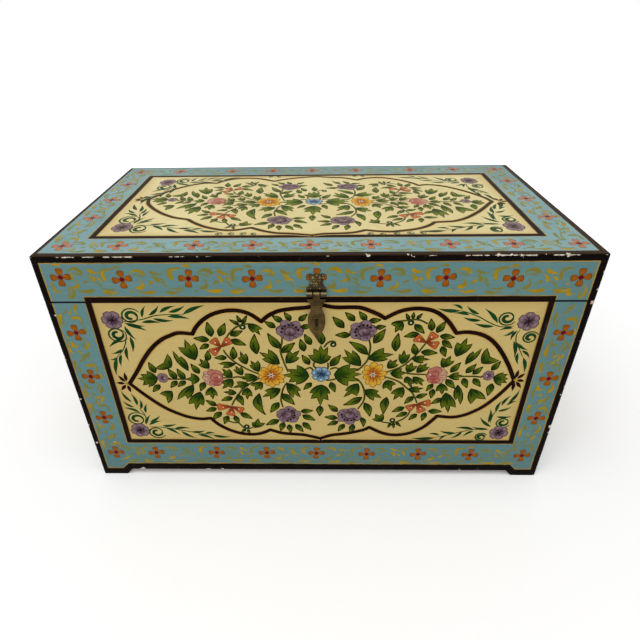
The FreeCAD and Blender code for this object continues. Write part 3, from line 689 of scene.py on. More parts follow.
# Stalk and points of each lobed leaf
lobed_leaves = (
    ((-177, 193.5), (-178.5, 213), (-196, 192.5)), ((-157, 188), (-170.5, 217.5), (-162.5, 210)),
    ((-146, 205), (-154, 234), (-144, 229), (-163, 223.5)),
    ((-131, 192), (-140, 206), (-134, 206), (-143, 198)),
    ((-197, 176), (-208, 187), (-216, 182), (-221, 176), (-216, 166), (-210, 163)),
    ((-145, 175.5), (-154, 183.5), (-161, 175), (-155, 167)), ((-153.5, 166), (-177, 141.5), (-164, 143.5)),
    ((-147, 154), (-156, 124.5), (-163.5, 134), (-146, 131.5)), ((-182, 155), (-190, 136), (-197.5, 151)),
    ((-132, 162), (-140, 148.5), (-132, 143), (-126, 148)), ((-98, 199), (-118, 199), (-113, 193.5)),
    ((-78, 257), (-63, 250), (-66, 242), (-73, 245)),
    ((-85, 198.5), (-90.5, 217), (-84.5, 214), (-94, 208)),
    ((-71, 187), (-79, 203), (-71, 203.5), (-81, 197)),
    ((-104.5, 178.5), (-114.5, 191), (-107, 190.5), (-116, 183)),
    ((-91.5, 181.5), (-98, 195), (-92, 194), (-101, 190)),
    ((-73, 178), (-88, 183), (-95, 178), (-87, 171.5)), ((-45, 199), (-57, 220), (-67.5, 216), (-65, 206)),
    ((-36.5, 200), (-32, 218), (-21, 218.5), (-21.5, 208)),
    ((-10, 180), (-24, 196), (-34, 190), (-41.5, 181.5), (-34, 171), (-26, 167)),
    ((-104.5, 175), (-118, 168.5), (-117.5, 160), (-107, 161)),
    ((-84, 167), (-99, 170), (-104, 161.5), (-95, 160.5)),
    ((-68.5, 170), (-82, 165), (-77, 157.5), (-70, 158)),
    ((-87, 161), (-94, 149), (-88.5, 142.5), (-82, 147)),
    ((-101.5, 152.5), (-117, 154), (-110, 158), (-111, 149)),
    ((-46, 159.5), (-65, 156), (-68, 146.5), (-59, 142.5)),
    ((-37, 168.5), (-20.5, 157), (-21.5, 146), (-30, 145.5)),
    ((-83, 92), (-85, 101), (-77, 107.5), (-69, 100)),
    ((5, 199), (-9.5, 212), (-3, 221), (4.5, 226), (12.5, 223), (16, 210)),
    ((5, 166), (-8.5, 152.5), (-7, 144), (4, 132), (13.5, 141.5), (15.5, 152)),
    ((21, 182.5), (40, 197.5), (50, 191), (53.5, 183), (50, 173), (38, 165)),
    ((97, 259), (85, 256), (90, 245.5), (97, 247)), ((102, 199), (97.5, 213), (102.5, 218.5), (109.5, 213)),
    ((85.5, 192), (87.5, 205), (95, 205), (97, 197.5)),
    ((113, 206.5), (127, 210.5), (133, 205.5), (126.5, 200.5)),
    ((110, 185.5), (107.5, 197.5), (113.5, 200.5), (119.5, 195.5)),
    ((121, 185.5), (124, 198.5), (131, 199), (134.5, 194)),
    ((89, 184), (102, 191.5), (108, 185), (104, 176.5)), ((61.5, 206), (78.5, 222), (89.5, 213), (84, 206)),
    ((52.5, 196), (33, 219.5), (42, 218.5), (30.5, 208.5)),
    ((165, 210), (163, 230), (173, 236), (180, 228)), ((177, 198), (192, 221), (183, 216.5)),
    ((196, 200), (199, 221), (215, 204)), ((150.5, 193.5), (149, 207.5), (158, 210), (163, 203)),
    ((160, 179), (171, 185.5), (177, 180), (173, 174.5)),
    ((214.5, 177), (225, 185), (229.5, 182.5), (232, 175.5), (231, 170), (225.5, 165)),
    ((50, 168), (35.5, 157), (34, 146.5), (49, 148.5)),
    ((59.5, 157.5), (76, 155.5), (80, 145), (71, 140.5)),
    ((85, 173), (96.5, 167), (91.5, 156.5), (82, 160)), ((106, 162), (92.5, 152), (96.5, 142), (106, 145)),
    ((109, 179), (107.5, 170), (116.5, 161.5), (118.5, 168)),
    ((117, 178.5), (131, 172), (129.5, 165.5), (122.5, 167.5)),
    ((113, 158.5), (124, 163), (131, 160.5), (127.5, 154.5)),
    ((84, 104), (75, 116), (83.5, 117), (71.5, 107.5)),
    ((152, 168), (148, 156), (155.5, 151), (161.5, 157)),
    ((159.5, 153), (158.5, 127.5), (167, 120.5), (175, 129)), ((173, 166), (180.5, 134.5), (173.5, 141.5)),
    ((190, 160), (194, 135), (210, 143)),
)

# Stems, each a line through its points
stems = (
    ((-71, 183), (-85, 191), (-100, 203), (-108, 214), (-110.5, 220)),
    ((-118, 177), (-105, 177.5), (-95, 178.5), (-88, 174)),
    ((-35, 186), (-40, 203), (-43, 218), (-41, 230), (-40, 238)),
    ((-105, 238), (-100, 245), (-93, 252), (-85, 256), (-77, 257)),
    ((-185, 175), (-165, 175), (-145, 175.5)),
    ((-70, 177), (-90, 162), (-98, 151), (-106, 138), (-109, 131)),
    ((-37, 170), (-42, 160), (-45, 148), (-45.5, 138), (-43.5, 128)),
    ((-103, 101), (-97, 92), (-92, 90), (-85, 92)), ((-15, 190), (-8, 193), (-4, 188)),
    ((-3, 202), (-4, 196), (0, 191)),
    ((48.6, 188), (54.3, 195), (60.4, 205), (62, 215), (62.6, 225), (60.4, 236)),
    ((82, 185), (100.5, 194), (110, 203.5), (118, 214), (127, 230)), ((108, 184), (119, 183), (132, 182.5)),
    ((85, 257), (90, 259.5), (100.5, 261), (110, 262.5), (118, 261), (126, 256.5)),
    ((177, 179.5), (191, 179.5), (200, 178)), ((13, 201), (13.5, 194), (12.4, 191)),
    ((15.4, 190.4), (21.5, 193), (26.3, 191.3)), ((11, 173), (18.5, 174), (23.7, 176.3)),
    ((48.6, 176), (54.3, 168.4), (58.2, 158), (59.5, 147.4), (57.8, 137), (51.7, 125.6)),
    ((81, 179.5), (98.8, 172), (109.3, 162.3), (119, 152), (126, 136)),
    ((83, 103), (92.7, 101), (99.7, 102), (107.5, 105.5), (115.4, 113.4), (118.5, 122)),
    ((-123, 110), (-116, 104), (-109, 101), (-103, 101)), ((158, 179.5), (168, 179), (178, 179.5)),
    ((8.4, 223.6), (12.4, 229.7), (17.6, 232.4), (21.5, 230.6), (20.5, 227.5)),
)
beads = ((-85, 252.5), (106.7, 258), (97.3, 106), (-93, 94), (19.3, 227.6))


def leafage(face, wanted):
    for stem in stems:
        if wanted(stem[0]) and wanted(stem[-1]):
            face.line("line", "rim", stem, 1.25, 0.8)
            face.line("line", "stem", stem, 0.6, 0.8, 0.013)
    for x0, y0, x1, y1, *form in plain_leaves:
        if wanted((x0, y0)) and wanted((x1, y1)):
            plain_leaf(face, (x0, y0), (x1, y1), *form)
    for base, *tips in lobed_leaves:
        if wanted(base) and wanted(tips[0]):
            lobed_leaf(face, base, *tips)
    for bead in beads:
        if wanted(bead):
            face.dab("line", "rim", bead, 3.9)
            face.dab("body", "leaf_dark", bead, 3.1)
            face.dab("dot", "white", bead, 1.1)


# Flowers of the panel
# Each is built up from petals round a heart: dark outline, petal, then lines towards the heart. The purple
# ones carry an arc of dark dots, the red fans a white dot, the yellow ones a pale heart round a dark dot.


def heading(turn):
    """The way that lies turn degrees round from across"""
    return Vector((math.cos(math.radians(turn)), math.sin(math.radians(turn))))


def ring(middle, radius, count, turn=0.0):
    return [Vector(middle) + heading(turn + 360 * k / count) * radius for k in range(count)]


def scallops(middle, wide, high, count, depth, turn=0.0):
    """Outline of a round flower with scalloped edges"""
    points = []
    for step in range(count * 4):
        angle = math.tau * step / (count * 4) + math.radians(turn)
        size = 1 - depth + depth * abs(math.sin(step * math.pi / 4))
        points.append(Vector(middle) + Vector((wide * size * math.cos(angle), high * size * math.sin(angle))))
    return points


def peony(face, middle, turn):
    size = 16.0
    middle = Vector(middle)
    out = heading(turn + 72) * size
    heart = middle - out * 0.14
    face.patch("purple", scallops(middle, size, size * 0.80, 6, 0.16, turn), heart, heart, "plum", 0.55)
    for k, spot in enumerate(ring(middle, size * 0.86, 5, turn + 20)):
        petal_heart = middle.lerp(spot, 0.72)
        petal = scallops(petal_heart, size * 0.40, size * 0.36, 3, 0.10, turn + 72 * k)
        face.patch("purple", petal, heart, petal_heart, "plum", 0.3, 1 + k % 2)
    inner = scallops(heart, size * 0.40, size * 0.36, 5, 0.08, turn)
    face.patch("purple", inner, heart - out * 0.3, heart, "plum", 0.45, 3)
    face.lick("dot", "lilac", heart + out * 0.20, heart - out * 0.10, 0.8, 2.6)
    face.lick("dot", "plum", heart - out * 0.24, heart + out * 0.02, 0.6, 1.6)
    for k, spot in enumerate(ring(middle, size, 15, turn)):
        face.lick("shadow", ("lilac", "lilac", "plum")[(k + k // 8) % 3], heart.lerp(spot, 0.56),
                  heart.lerp(spot, 0.84), (0.45, 0.6, 0.4)[k % 3], (0.8, -0.6)[k % 2])
    for spot in ring(heart, size * 0.62, 13, turn - 10)[:7]:
        face.dab("dot", "black", spot, 1.55)


def yellow_flower(face, middle, tips):
    middle = Vector(middle)
    for k, tip in enumerate(tips):
        tip = Vector(tip)
        start = middle.lerp(tip, 0.14)
        half = 0.19 * (tip - middle).length + 0.9
        petal = blade(start, tip, half, petal_swell)
        face.patch("yellow", petal, start, start.lerp(tip, 0.55), "rust", 0.42, k % 3)
        face.lick("shadow", "amber", start, start.lerp(tip, 0.58), half * 0.26, 0.4)
    for spot in ring(middle, 5.0, 6):
        face.lick("dot", "white", middle, spot, 0.6)
    face.dab("dot", "black", middle, 1.3)


def rose(face, middle, way):
    """A rose of loose petals that opens to the right where way is 1, to the left where it is -1"""
    width = 26
    height = 28
    middle = Vector(middle)

    def at(wide, high):
        return middle + Vector((wide * width * way, high * height))

    petals = scallops(middle, width * 0.5, height * 0.5, 9, 0.13)
    face.patch("pale_pink", petals, at(0.2, 0), middle, "rose", 0.45)
    for spot, wide, high, turn, level in ((at(0.10, 0.27), 0.33, 0.17, -18, 1),
                                          (at(0.10, -0.28), 0.30, 0.16, 14, 1),
                                          (at(0.17, -0.01), 0.29, 0.25, 0, 2)):
        petal = scallops(spot, width * wide, height * high, 5, 0.05, turn)
        face.patch("pink", petal, spot - Vector((0, 3)), spot, "rose", 0.42, level)
    for k in range(4):
        face.lick("shadow", "rose", at(-0.42, 0.20 - 0.14 * k), at(-0.14, 0.12 - 0.10 * k), 0.32, 0.9)
    face.lick("shadow", "rose", at(0.02, 0.10), at(0.32, 0.08), 0.5, -2.2)
    face.lick("shadow", "rose", at(0.0, -0.10), at(0.34, -0.10), 0.6, -2.0)
    face.dab("dot", "white", at(0.30, 0.05), 1.0)
    face.dab("dot", "white", at(-0.26, 0.14), 0.7)
    face.dab("dot", "white", at(-0.32, -0.06), 0.7)


def bud(face, middle, point):
    middle = Vector(middle)
    face.lick("body", "rose", middle, point, 2.2, 0.0, drop_swell)
    face.patch("purple", scallops(middle, 7.0, 7.8, 6, 0.10, 15), middle, middle, "plum", 0.3, 1)
    for spot in ring(middle, 6.4, 9):
        face.lick("shadow", "lilac", middle.lerp(spot, 0.45), spot, 0.55)
    face.dab("dot", "white", middle.lerp(Vector(point), 0.2), 0.9)


def rosette(face, middle, size, petals, colours, turn):
    """Round flower: colours are its outline, petals, petal lights and heart"""
    middle = Vector(middle)
    rim, body, light, heart = colours
    for k, tip in enumerate(ring(middle, size, petals, turn)):
        half = size * (2.35, 2.6)[k % 2] / petals
        petal = blade(middle.lerp(tip, 0.08), tip, half, broad_swell)
        face.patch(body, petal, middle, middle.lerp(tip, 0.6), rim, 0.42, k % 3)
        face.lick("shadow", light, middle.lerp(tip, 0.62), middle.lerp(tip, 0.94), half * 0.3, 0.3)
        face.lick("shadow", heart, middle, middle.lerp(tip, 0.72), 0.45, 0.2, drop_swell)
    face.dab("dot", heart, middle, size * 0.17)


def red_fans(face, apex, *outers):
    """Three red petals like open fans, from one apex out to the middles of their far edges"""
    apex = Vector(apex)
    for outer in outers:
        outer = Vector(outer)
        start = apex.lerp(outer, 0.02)
        end = outer.lerp(apex, -0.10)
        side = (outer - apex).orthogonal().normalized()
        face.patch("vermilion", blade(start, end, 5.8, fan_swell), start, start.lerp(end, 0.6), "rust", 0.5)
        face.lick("shadow", "rust", apex.lerp(outer, 0.3), outer + side * 2.4, 0.4, 0.5)
        face.lick("shadow", "rust", apex.lerp(outer, 0.3), outer - side * 2.6, 0.4, -0.5)
        face.dab("dot", "white", apex.lerp(outer, 0.68) + side * 0.8, 0.9)


# Each flower's middle, with its petals' tips, its turn, its way or its bud's point
yellow_flowers = (
    ((-56, 181), ((-55, 199), (-67, 193), (-42, 193), (-72, 178), (-39, 178), (-48, 198), (-62, 165),
                  (-55, 162), (-48, 166), (-70, 169), (-41, 170), (-72, 186))),
    ((68, 182), ((68.7, 202), (78, 197.5), (85, 185), (58, 196), (55, 187), (56, 177), (83, 176), (77, 166),
                 (69, 162), (61, 167))),
)
peonies = (((-31, 248), 25), ((-37, 115), -80), ((53, 247), 52), ((41, 113), 185))
fan_trios = (
    ((-113, 224), (-121, 234), (-102, 234), (-124, 216)),
    ((-109, 129.5), (-126, 128.5), (-112, 115.5), (-97, 122.5)),
    ((127, 230.5), (115, 237), (135.5, 241.5), (139.5, 226)),
    ((126, 134.5), (115.8, 126.5), (133, 122), (141, 136)),
)
roses = (((-128, 177), 1), ((145, 181), -1))
buds = (((-190, 177), (-178.5, 175.5)), ((207.7, 180.8), (197, 179)))


def flowers(face, wanted):
    rosette(face, (5, 183), 11.5, 7, ("navy", "blue", "pale_blue", "navy"), 10)
    for flower, places in ((yellow_flower, yellow_flowers), (peony, peonies), (red_fans, fan_trios),
                           (rose, roses), (bud, buds)):
        for place in places:
            if wanted(place[0]):
                flower(face, *place)


# Corner sprigs of the panel
# A purple flower in each corner, with two curled tendrils and slim dark green leaves that run out along the
# two sides. Bare of outlines, each leaf one press of the brush.

# For each corner the flower's middle, the curls with their size and way, the stems, and each leaf's root
# and tip
corner_sprigs = (
    ((-233.3, 262.5), ((-211, 267.5, 10, 1), (-232, 242.5, 10, -1)),
     (((-222, 260), (-200, 263), (-180, 269), (-150, 270)),
      ((-232, 252), (-222, 245), (-224, 233), (-230, 220), (-240, 209))),
     ((-198, 266, -192.5, 280), (-190, 269, -178, 281), (-177, 272.5, -160, 280.5), (-167, 273, -149, 281),
      (-151, 270, -127, 281), (-220, 258.5, -199, 254.5), (-217, 255, -198, 248), (-221, 254, -212, 236),
      (-200, 259, -180, 258.5), (-186, 264.5, -165, 262), (-169, 267, -146, 264), (-227, 236, -244, 225),
      (-218, 239, -219, 218), (-225, 224, -226.5, 205), (-231, 221, -244, 215), (-233.5, 213, -237, 196),
      (-239, 209, -248, 206), (-240, 208, -246, 183))),
    ((-236, 87), ((-236, 107, 11, 1), (-214, 83, 10, -1)),
     (((-226, 98), (-224, 112), (-229, 126)), ((-222, 93), (-205, 92), (-190, 89), (-165, 83), (-140, 78))),
     ((-237, 137, -246, 154), (-231, 131, -235, 150), (-236, 128, -247, 138), (-228, 125, -226, 140),
      (-222, 118, -218.5, 132.5), (-230, 119, -248, 126.5), (-226, 97, -218, 113), (-220, 102, -206, 112.5),
      (-222, 96.5, -206, 103), (-205, 95, -187, 98), (-190, 89, -170, 90.5), (-168, 84, -150, 86),
      (-150, 80.5, -137, 81), (-140, 78, -118, 75), (-200, 90, -185, 79), (-181, 85, -164, 73),
      (-160, 79, -140, 70.5))),
    ((238.3, 259.4), ((213.8, 263.8, 9, -1), (245, 237, 8, 1)),
     (((223.4, 253.3), (208.6, 252.4), (195.5, 257.7), (182.4, 265.5), (169.3, 271.2), (160, 274.3)),
      ((231.3, 248), (228.7, 241), (230.4, 230.6), (236.6, 220), (242.7, 208.8))),
     ((160, 274, 136, 277), (162, 276, 151, 281.3), (181.5, 269.5, 167.6, 279.5),
      (170.6, 268.2, 154.5, 270.3), (184.6, 261.2, 165.8, 265), (204, 257.7, 188, 275),
      (200.7, 253, 179.8, 256.8), (222.6, 250.3, 209, 247.6), (224.8, 247.2, 214.3, 240.2),
      (228.3, 246.8, 224, 234), (227.4, 232, 232.6, 209.7), (231.7, 229.7, 245.3, 220),
      (239.6, 218.4, 249.7, 208.3), (236, 215, 239.2, 199.2), (243.5, 208, 248.8, 187))),
    ((238.3, 83.7), ((240.5, 102, 8.5, -1), (216, 75.4, 7, 1)),
     (((224.3, 89), (204, 89.3), (190, 85.4), (181.5, 82.4), (170, 78.4), (156, 74.5)),
      ((224, 101), (225, 115), (227.8, 122))),
     ((226, 94.6, 210.8, 110), (221.3, 102, 220.4, 124), (227.8, 120.4, 231.7, 139),
      (229.6, 122.5, 244.4, 129), (233, 131.7, 241, 147.4), (241, 137, 249.2, 156.2),
      (239.2, 132.2, 249.7, 139), (230.4, 112.5, 248, 113), (222.6, 90.7, 203.4, 93.7),
      (204, 89.8, 182.4, 92), (181.5, 83.2, 162.3, 86.3), (161.4, 78.4, 148, 81), (156, 74, 127, 73.5),
      (205, 86.7, 193.3, 76.7), (190.3, 85.4, 177.6, 74), (170, 78, 162.8, 69.7))),
)


def curl(face, middle, radius, turn, thick):
    """A tendril that coils in to its middle, broad on the last turn"""
    coil = []
    for step in range(22):
        angle = turn * (0.52 * step + 0.5)
        coil.append((middle[0] + radius * (1.02 - 0.036 * step) * math.cos(angle),
                     middle[1] + radius * (0.94 - 0.033 * step) * math.sin(angle)))
    face.line("line", "sprig", coil[:13], 1.05 * thick)
    face.line("line", "sprig", coil[11:], 2.1 * thick)


def sprigs(face, thick=1.0, shifts=((0, 0),) * 4):
    held = face.shift
    for k, (middle, curls, sprig_stems, licks) in enumerate(corner_sprigs):
        face.shift = (held[0] + shifts[k][0], held[1] + shifts[k][1])
        for x0, y0, radius, turn in curls:
            curl(face, (x0, y0), radius * 1.18, turn, thick)
        for stem in sprig_stems:
            face.line("line", "sprig", stem, 0.7 * thick)
        for n, (x0, y0, x1, y1) in enumerate(licks):
            half = (0.06 * math.hypot(x1 - x0, y1 - y0) + 1.0) * thick
            tip = Vector((x0, y0)).lerp(Vector((x1, y1)), 1.08)
            face.lick("line", "sprig", (x0, y0), tip, half, (1.6, -1.6)[n % 2], slim_swell)
        rosette(face, middle, 12.0, 6, ("plum", "purple", "lilac", "black"), 15 * k)
    face.shift = held


# Cartouche round the flowers
# One brushed brown line of many lobes that meet in cusps, over a wider amber glaze, with a brown star where
# its two ends come to a point.
front_cartouche = (
    ((-233, 168), (-220, 187), (-210, 203), (-200, 217), (-190, 228), (-180, 236), (-170, 241),
     (-160, 244.5), (-144, 243)),
    ((-144, 243), (-139, 252), (-130, 262), (-120, 269), (-110, 273), (-100, 275), (-90, 275), (-80, 272.5),
     (-72, 268), (-63, 260)),
    ((-63, 260), (-56, 267), (-48, 272), (-40, 275), (-25, 277.5), (-10, 279), (3, 283)),
    ((3, 283), (20, 279), (40, 279), (50, 278), (60, 274), (70, 269), (77, 264)),
    ((77, 264), (90, 272), (100, 275.5), (110, 277), (120, 276.5), (130, 274), (140, 268), (150, 258),
     (160, 243.5)),
    ((160, 243.5), (170, 245), (180, 244), (190, 241), (200, 235), (210, 225), (220, 211), (230, 194),
     (240, 173)),
    ((-233, 168), (-220, 152), (-210, 141), (-200, 131), (-190, 123), (-180, 117), (-170, 112), (-160, 109),
     (-150, 107.5), (-139, 109)),
    ((-139, 109), (-130, 98), (-120, 90), (-110, 84.5), (-100, 81), (-90, 79.5), (-80, 80), (-70, 83.5),
     (-62, 88)),
    ((-62, 88), (-50, 83), (-40, 81), (-20, 79), (-10, 76.5), (4, 72)),
    ((4, 72), (10, 75), (20, 78.5), (40, 82), (60, 88), (68, 93)),
    ((68, 93), (80, 85.5), (90, 81), (100, 79), (110, 79.5), (120, 82), (130, 87), (140, 95), (148, 105),
     (154, 113.5)),
    ((154, 113.5), (170, 111.5), (180, 112.5), (190, 116), (200, 122), (210, 130), (220, 141.5), (230, 156),
     (240, 173)),
)
front_stars = (((-236.5, 168), ((-250, 169), (-246, 156.5), (-234.5, 153), (-245, 181), (-236, 186))),
               ((241, 174), ((242, 190), (251.5, 184.5), (253, 172), (251, 160.5), (241, 155.5))))


def cartouche(face, lobes, stars, half=2.7):
    for lobe in lobes:
        face.line("glaze", "halo", lobe, half + 1.4, 0.9)
        face.line("line", "brown", lobe, half, 0.95)
        for end in (lobe[0], lobe[-1]):
            face.dab("line", "brown", end, half * 0.95)
    for middle, tips in stars:
        for tip in tips:
            start = Vector(middle).lerp(Vector(tip), 0.18)
            face.lick("glaze", "halo", start, tip, 3.3)
            face.lick("body", "brown", start, tip, 2.2)
        face.dab("shadow", "ochre", middle, 1.9)


# Border of flowers and scrolls
# On the blue ground all round each panel: four orange petals round a dark red heart at even steps, and
# ochre scroll leaves between them, brushed fast, some of them thin, each with a faint green margin.

# Start and end of each scroll leaf on the way from one flower to the next, its half width and its bulge
border_scrolls = (
    (9, 6.5, 26, 5.0, 2.2, 3.8), (11, 4.6, 24, 2.4, 0.8, 1.0), (17, -1.5, 11.5, -11.5, 2.3, 4.5),
    (13.5, -14, 34.5, -14.5, 2.1, -1.8), (30.8, 5, 37, -4.5, 2.1, 1.5), (26, -8, 32, -3, 1.4, 0.8),
    (45, 6.5, 31.5, 10.5, 1.9, 1.6), (61, 10.5, 52, -2.5, 2.2, -5.5), (37, -4.5, 46, -10.5, 0.8, 1.2),
    (62.5, -14.5, 44, -15.4, 2.2, 1.8), (46, -10.5, 62, -12, 0.8, -1.0), (-8.5, 14.2, 2, 14, 1.4, 1.2),
    (4.5, -14.2, 8.5, -16.5, 1.2, 0.6), (45, 8, 62, 11.5, 0.9, 1.4), (38, 1, 45, -4, 1.2, 0.8),
)
border_step = 70
side_breadth = 0.82


def border_flower(face, middle, turn):
    middle = Vector(middle)
    for k in range(4):
        way = heading(turn + 90 * k)
        lean = Vector((-way.y, way.x)) * (0.8, -0.5, 0.4, -0.7)[k]
        petal = blade(middle + way * 2.4, middle + way * 10.8 + lean, 3.9, broad_swell)
        face.patch("orange", petal, middle, middle + way * 7.0, "rust", 0.26)
        face.lick("shadow", "rust", middle + way * 2.5, middle + way * 6.0, 0.35)
    face.dab("shadow", "red", middle, 2.8)


def everywhere(place):
    return True


def scroll_run(face, start, end, phase, strength, wanted, breadth):
    """Scroll leaves from one border flower to the next, some of them brushed thin"""
    start = Vector(start)
    way = Vector(end) - start
    room = way.length / border_step
    way.normalize()
    left = Vector((-way.y, way.x))
    for n, (x0, y0, x1, y1, half, bulge) in enumerate(border_scrolls):
        drift = 0.8 * math.sin(3.7 * phase + 2.3 * n)
        sway = 1.2 * math.cos(5.1 * phase + n)
        first = start + way * (x0 * room + 1.6 * drift) + left * (y0 * breadth + sway)
        last = start + way * (x1 * room + 1.8 * drift) + left * (y1 * breadth + 0.8 * drift)
        if wanted(first) and wanted(last):
            thin = (2 * n + 3 * phase) % 5 < 2 or half < 1.0
            half = half * (1.0 + 0.22 * drift) * strength
            bend = bulge * 1.3
            margin = [half * share + 0.8 * strength for share in scroll_swell]
            face.stroke("body", "scroll_glaze", arc(first, last, bend), margin, -0.022)
            face.lick("body", "thin_ochre" if thin else "ochre", first, last, half, bend, scroll_swell)


def border_row(face, spots, phase=0, strength=1.0, breadth=1.0):
    """Flowers at the spots, and scrolls from each one to the next"""
    for k, spot in enumerate(spots):
        border_flower(face, spot, (0, 6, -5, 3, -3)[(k + phase) % 5])
    for k, (start, end) in enumerate(zip(spots, spots[1:])):
        scroll_run(face, start, end, k + phase, strength, everywhere, breadth)


def even_row(first, count, up, step=border_step):
    return [(first + step * k, up) for k in range(count)]


def on_the_lid(place):
    return place[1] > 289.5


def on_the_box(place):
    return place[1] < 284.0


def border_column(face, corner, spots, low, phase, strength=0.9, wanted=on_the_box):
    """Border flowers down one side, with scrolls from the corner above them and to the flower below them"""
    scroll_run(face, corner, spots[0], phase, strength, wanted, side_breadth)
    border_row(face, spots, phase + 1, strength, side_breadth)
    scroll_run(face, spots[-1], low, phase + 3, 0.8, everywhere, side_breadth)


def lid_column(face, corner, spot, phase):
    """The lid's share of the scrolls that run down from a corner, cut at the seam"""
    scroll_run(face, corner, spot, phase, 0.9, on_the_lid, side_breadth)


def even_column(face, side):
    border_column(face, (side, 316), ((side, 244), (side, 177), (side, 110)), (side, 42), 2)


# Front of the box
# The main panel, under the hasp, brushed on the front board up to the seam: cartouche, leaves, flowers and
# corner sprigs, with the border below it and on both sides.


def long_panel(face):
    face.fullness = 1.06
    cartouche(face, front_cartouche, front_stars)
    leafage(face, everywhere)
    flowers(face, everywhere)
    sprigs(face)


front = Face("front_painting", "box", (0, -half_deep, 0), (1, 0, 0), (0, 0, 1))
long_panel(front)
border_row(front, ((-278, 44), (-222, 43.5), (-138.5, 44), (-69.5, 44), (-1.5, 43.5), (67, 42), (137, 42),
                   (207.5, 41), (278, 40)), 0, 0.8)
border_column(front, (-277, 318), ((-279.5, 245), (-279, 179), (-279, 110)), (-278, 44), 0)
border_column(front, (281, 315.5), ((281, 244), (281, 176), (281, 110)), (278, 40), 1)
front.lay()

# Rear of the box
# The same panel again on the rear board, as on the front, with an even border and no fitting over it but the
# two hinges.
rear = Face("rear_painting", "box", (0, half_deep, 0), (-1, 0, 0), (0, 0, 1))
long_panel(rear)
border_row(rear, even_row(-278, 9, 42, 69.5), 1)
for side in (-280, 280):
    even_column(rear, side)
rear.lay()

# Front and rear of the lid
# The upper border of the two long panels, brushed on the lid's rails, with the scrolls at its corners that
# run on below the seam.
lid_front = Face("lid_front_painting", "lid", (0, -half_deep, 0), (1, 0, 0), (0, 0, 1))
border_row(lid_front, ((-277, 318), (-210.5, 315), (-138, 316), (-69, 315.5), (0, 317), (69, 315.5),
                       (138.5, 316), (210, 314.5), (281, 315.5)))
lid_column(lid_front, (-277, 318), (-279.5, 245), 0)
lid_column(lid_front, (281, 315.5), (281, 244), 1)
lid_front.lay()
lid_rear = Face("lid_rear_painting", "lid", (0, half_deep, 0), (-1, 0, 0), (0, 0, 1))
border_row(lid_rear, even_row(-280, 9, 316), 1)
for side in (-280, 280):
    lid_column(lid_rear, (side, 316), (side, 244), 2)
lid_rear.lay()

# Top of the lid
# A panel like the front one on the top board, with its own border all round. It is the painter's second try
# at the same pattern, a little flatter and a little askew.
top_cartouche = (
    ((-229, 12), (-220, 28), (-210, 45), (-200, 58), (-190, 67), (-180, 74), (-170, 79), (-160, 81),
     (-148, 80)),
    ((-148, 80), (-140, 90), (-130, 97), (-120, 101), (-105, 103), (-90, 101), (-80, 97), (-64, 87)),
    ((-64, 87), (-50, 95), (-25, 104), (0, 109)),
    ((0, 109), (20, 104), (40, 101), (60, 90)),
    ((60, 90), (70, 97), (85, 101), (100, 100), (120, 90), (130, 82), (140, 72), (146, 62)),
    ((146, 62), (155, 65), (165, 64.5), (175, 61), (185, 55), (195, 46), (205, 36), (215, 23), (225, 8),
     (230, -7)),
    ((-229, 12), (-225, -5), (-215, -21), (-205, -33), (-195, -43), (-185, -51), (-175, -57), (-158, -63)),
    ((-158, -63), (-150, -72), (-140, -81), (-130, -88), (-120, -93), (-110, -96.5), (-100, -97.5),
     (-90, -95.5), (-77, -90)),
    ((-77, -90), (-65, -98), (-55, -103), (-45, -106.5), (-30, -108), (-5, -113)),
    ((-5, -113), (10, -109), (30, -108), (45, -105), (57, -99)),
    ((57, -99), (70, -102.5), (85, -104), (100, -101.5), (115, -97), (125, -92), (135, -84), (141, -76.5)),
    ((141, -76.5), (155, -75), (165, -73.5), (175, -68.5), (185, -61), (195, -51), (205, -40), (215, -27),
     (225, -13), (230, -7)),
)
top_stars = (((-238, 13), ((-249, 12), (-246, 3), (-236, 1), (-244, 22), (-235, 26))),
             ((240, -7), ((236, 8), (246, 4), (251, -6), (244, -18), (234, -21))))
top_curls = (
    (-112, -108, 5.0, 1), (-98, -107, 4.6, -1), (-84, -108, 4.6, 1), (-72, -108, 4.2, -1), (62, -110, 4.2, 1),
    (76, -111, 4.2, -1), (92, -109.5, 4.6, 1), (108, -108, 5.0, -1), (122, -108, 4.6, 1), (-70, 109, 4.0, 1),
    (-58, 109, 3.8, -1), (58, 109, 4.0, 1), (70, 110, 3.8, -1),
)
top = Face("top_painting", "lid", (0, 0, full_high), (1, 0, 0), (0, 1, 0))
cartouche(top, top_cartouche, top_stars, 2.5)
for x0, y0, radius, turn in top_curls:
    curl(top, (x0, y0), radius, turn, 0.46)
top.fullness = 0.98
top.move((0.985, 0.96), (-8.5, -178.0), 0.11)
leafage(top, everywhere)
flowers(top, everywhere)
top.move((0.99, 1.15), (-2.0, -201.8))
sprigs(top, 1.15, ((10.5, -14), (4, 15), (-10.5, -14), (-4, 15)))
top.move()
near_row = -139
far_row = 140
border_row(top, [(along, near_row) for along in (-280, -218, -134, -70, -7.5, 59.5, 145, 213.5, 283)], 0, 0.7,
           side_breadth)
border_row(top, [(along, far_row) for along in (-280, -217, -134, -70, -8, 61, 146, 213, 278)], 1, 0.6,
           side_breadth)
border_column(top, (-280, far_row), ((-280, 77), (-280, 10), (-280, -56)), (-280, near_row), 0, 0.8,
              everywhere)
border_column(top, (278, far_row), ((279, 80), (278, 4), (280, -61)), (283, near_row), 1, 0.8,
              everywhere)
top.lay()

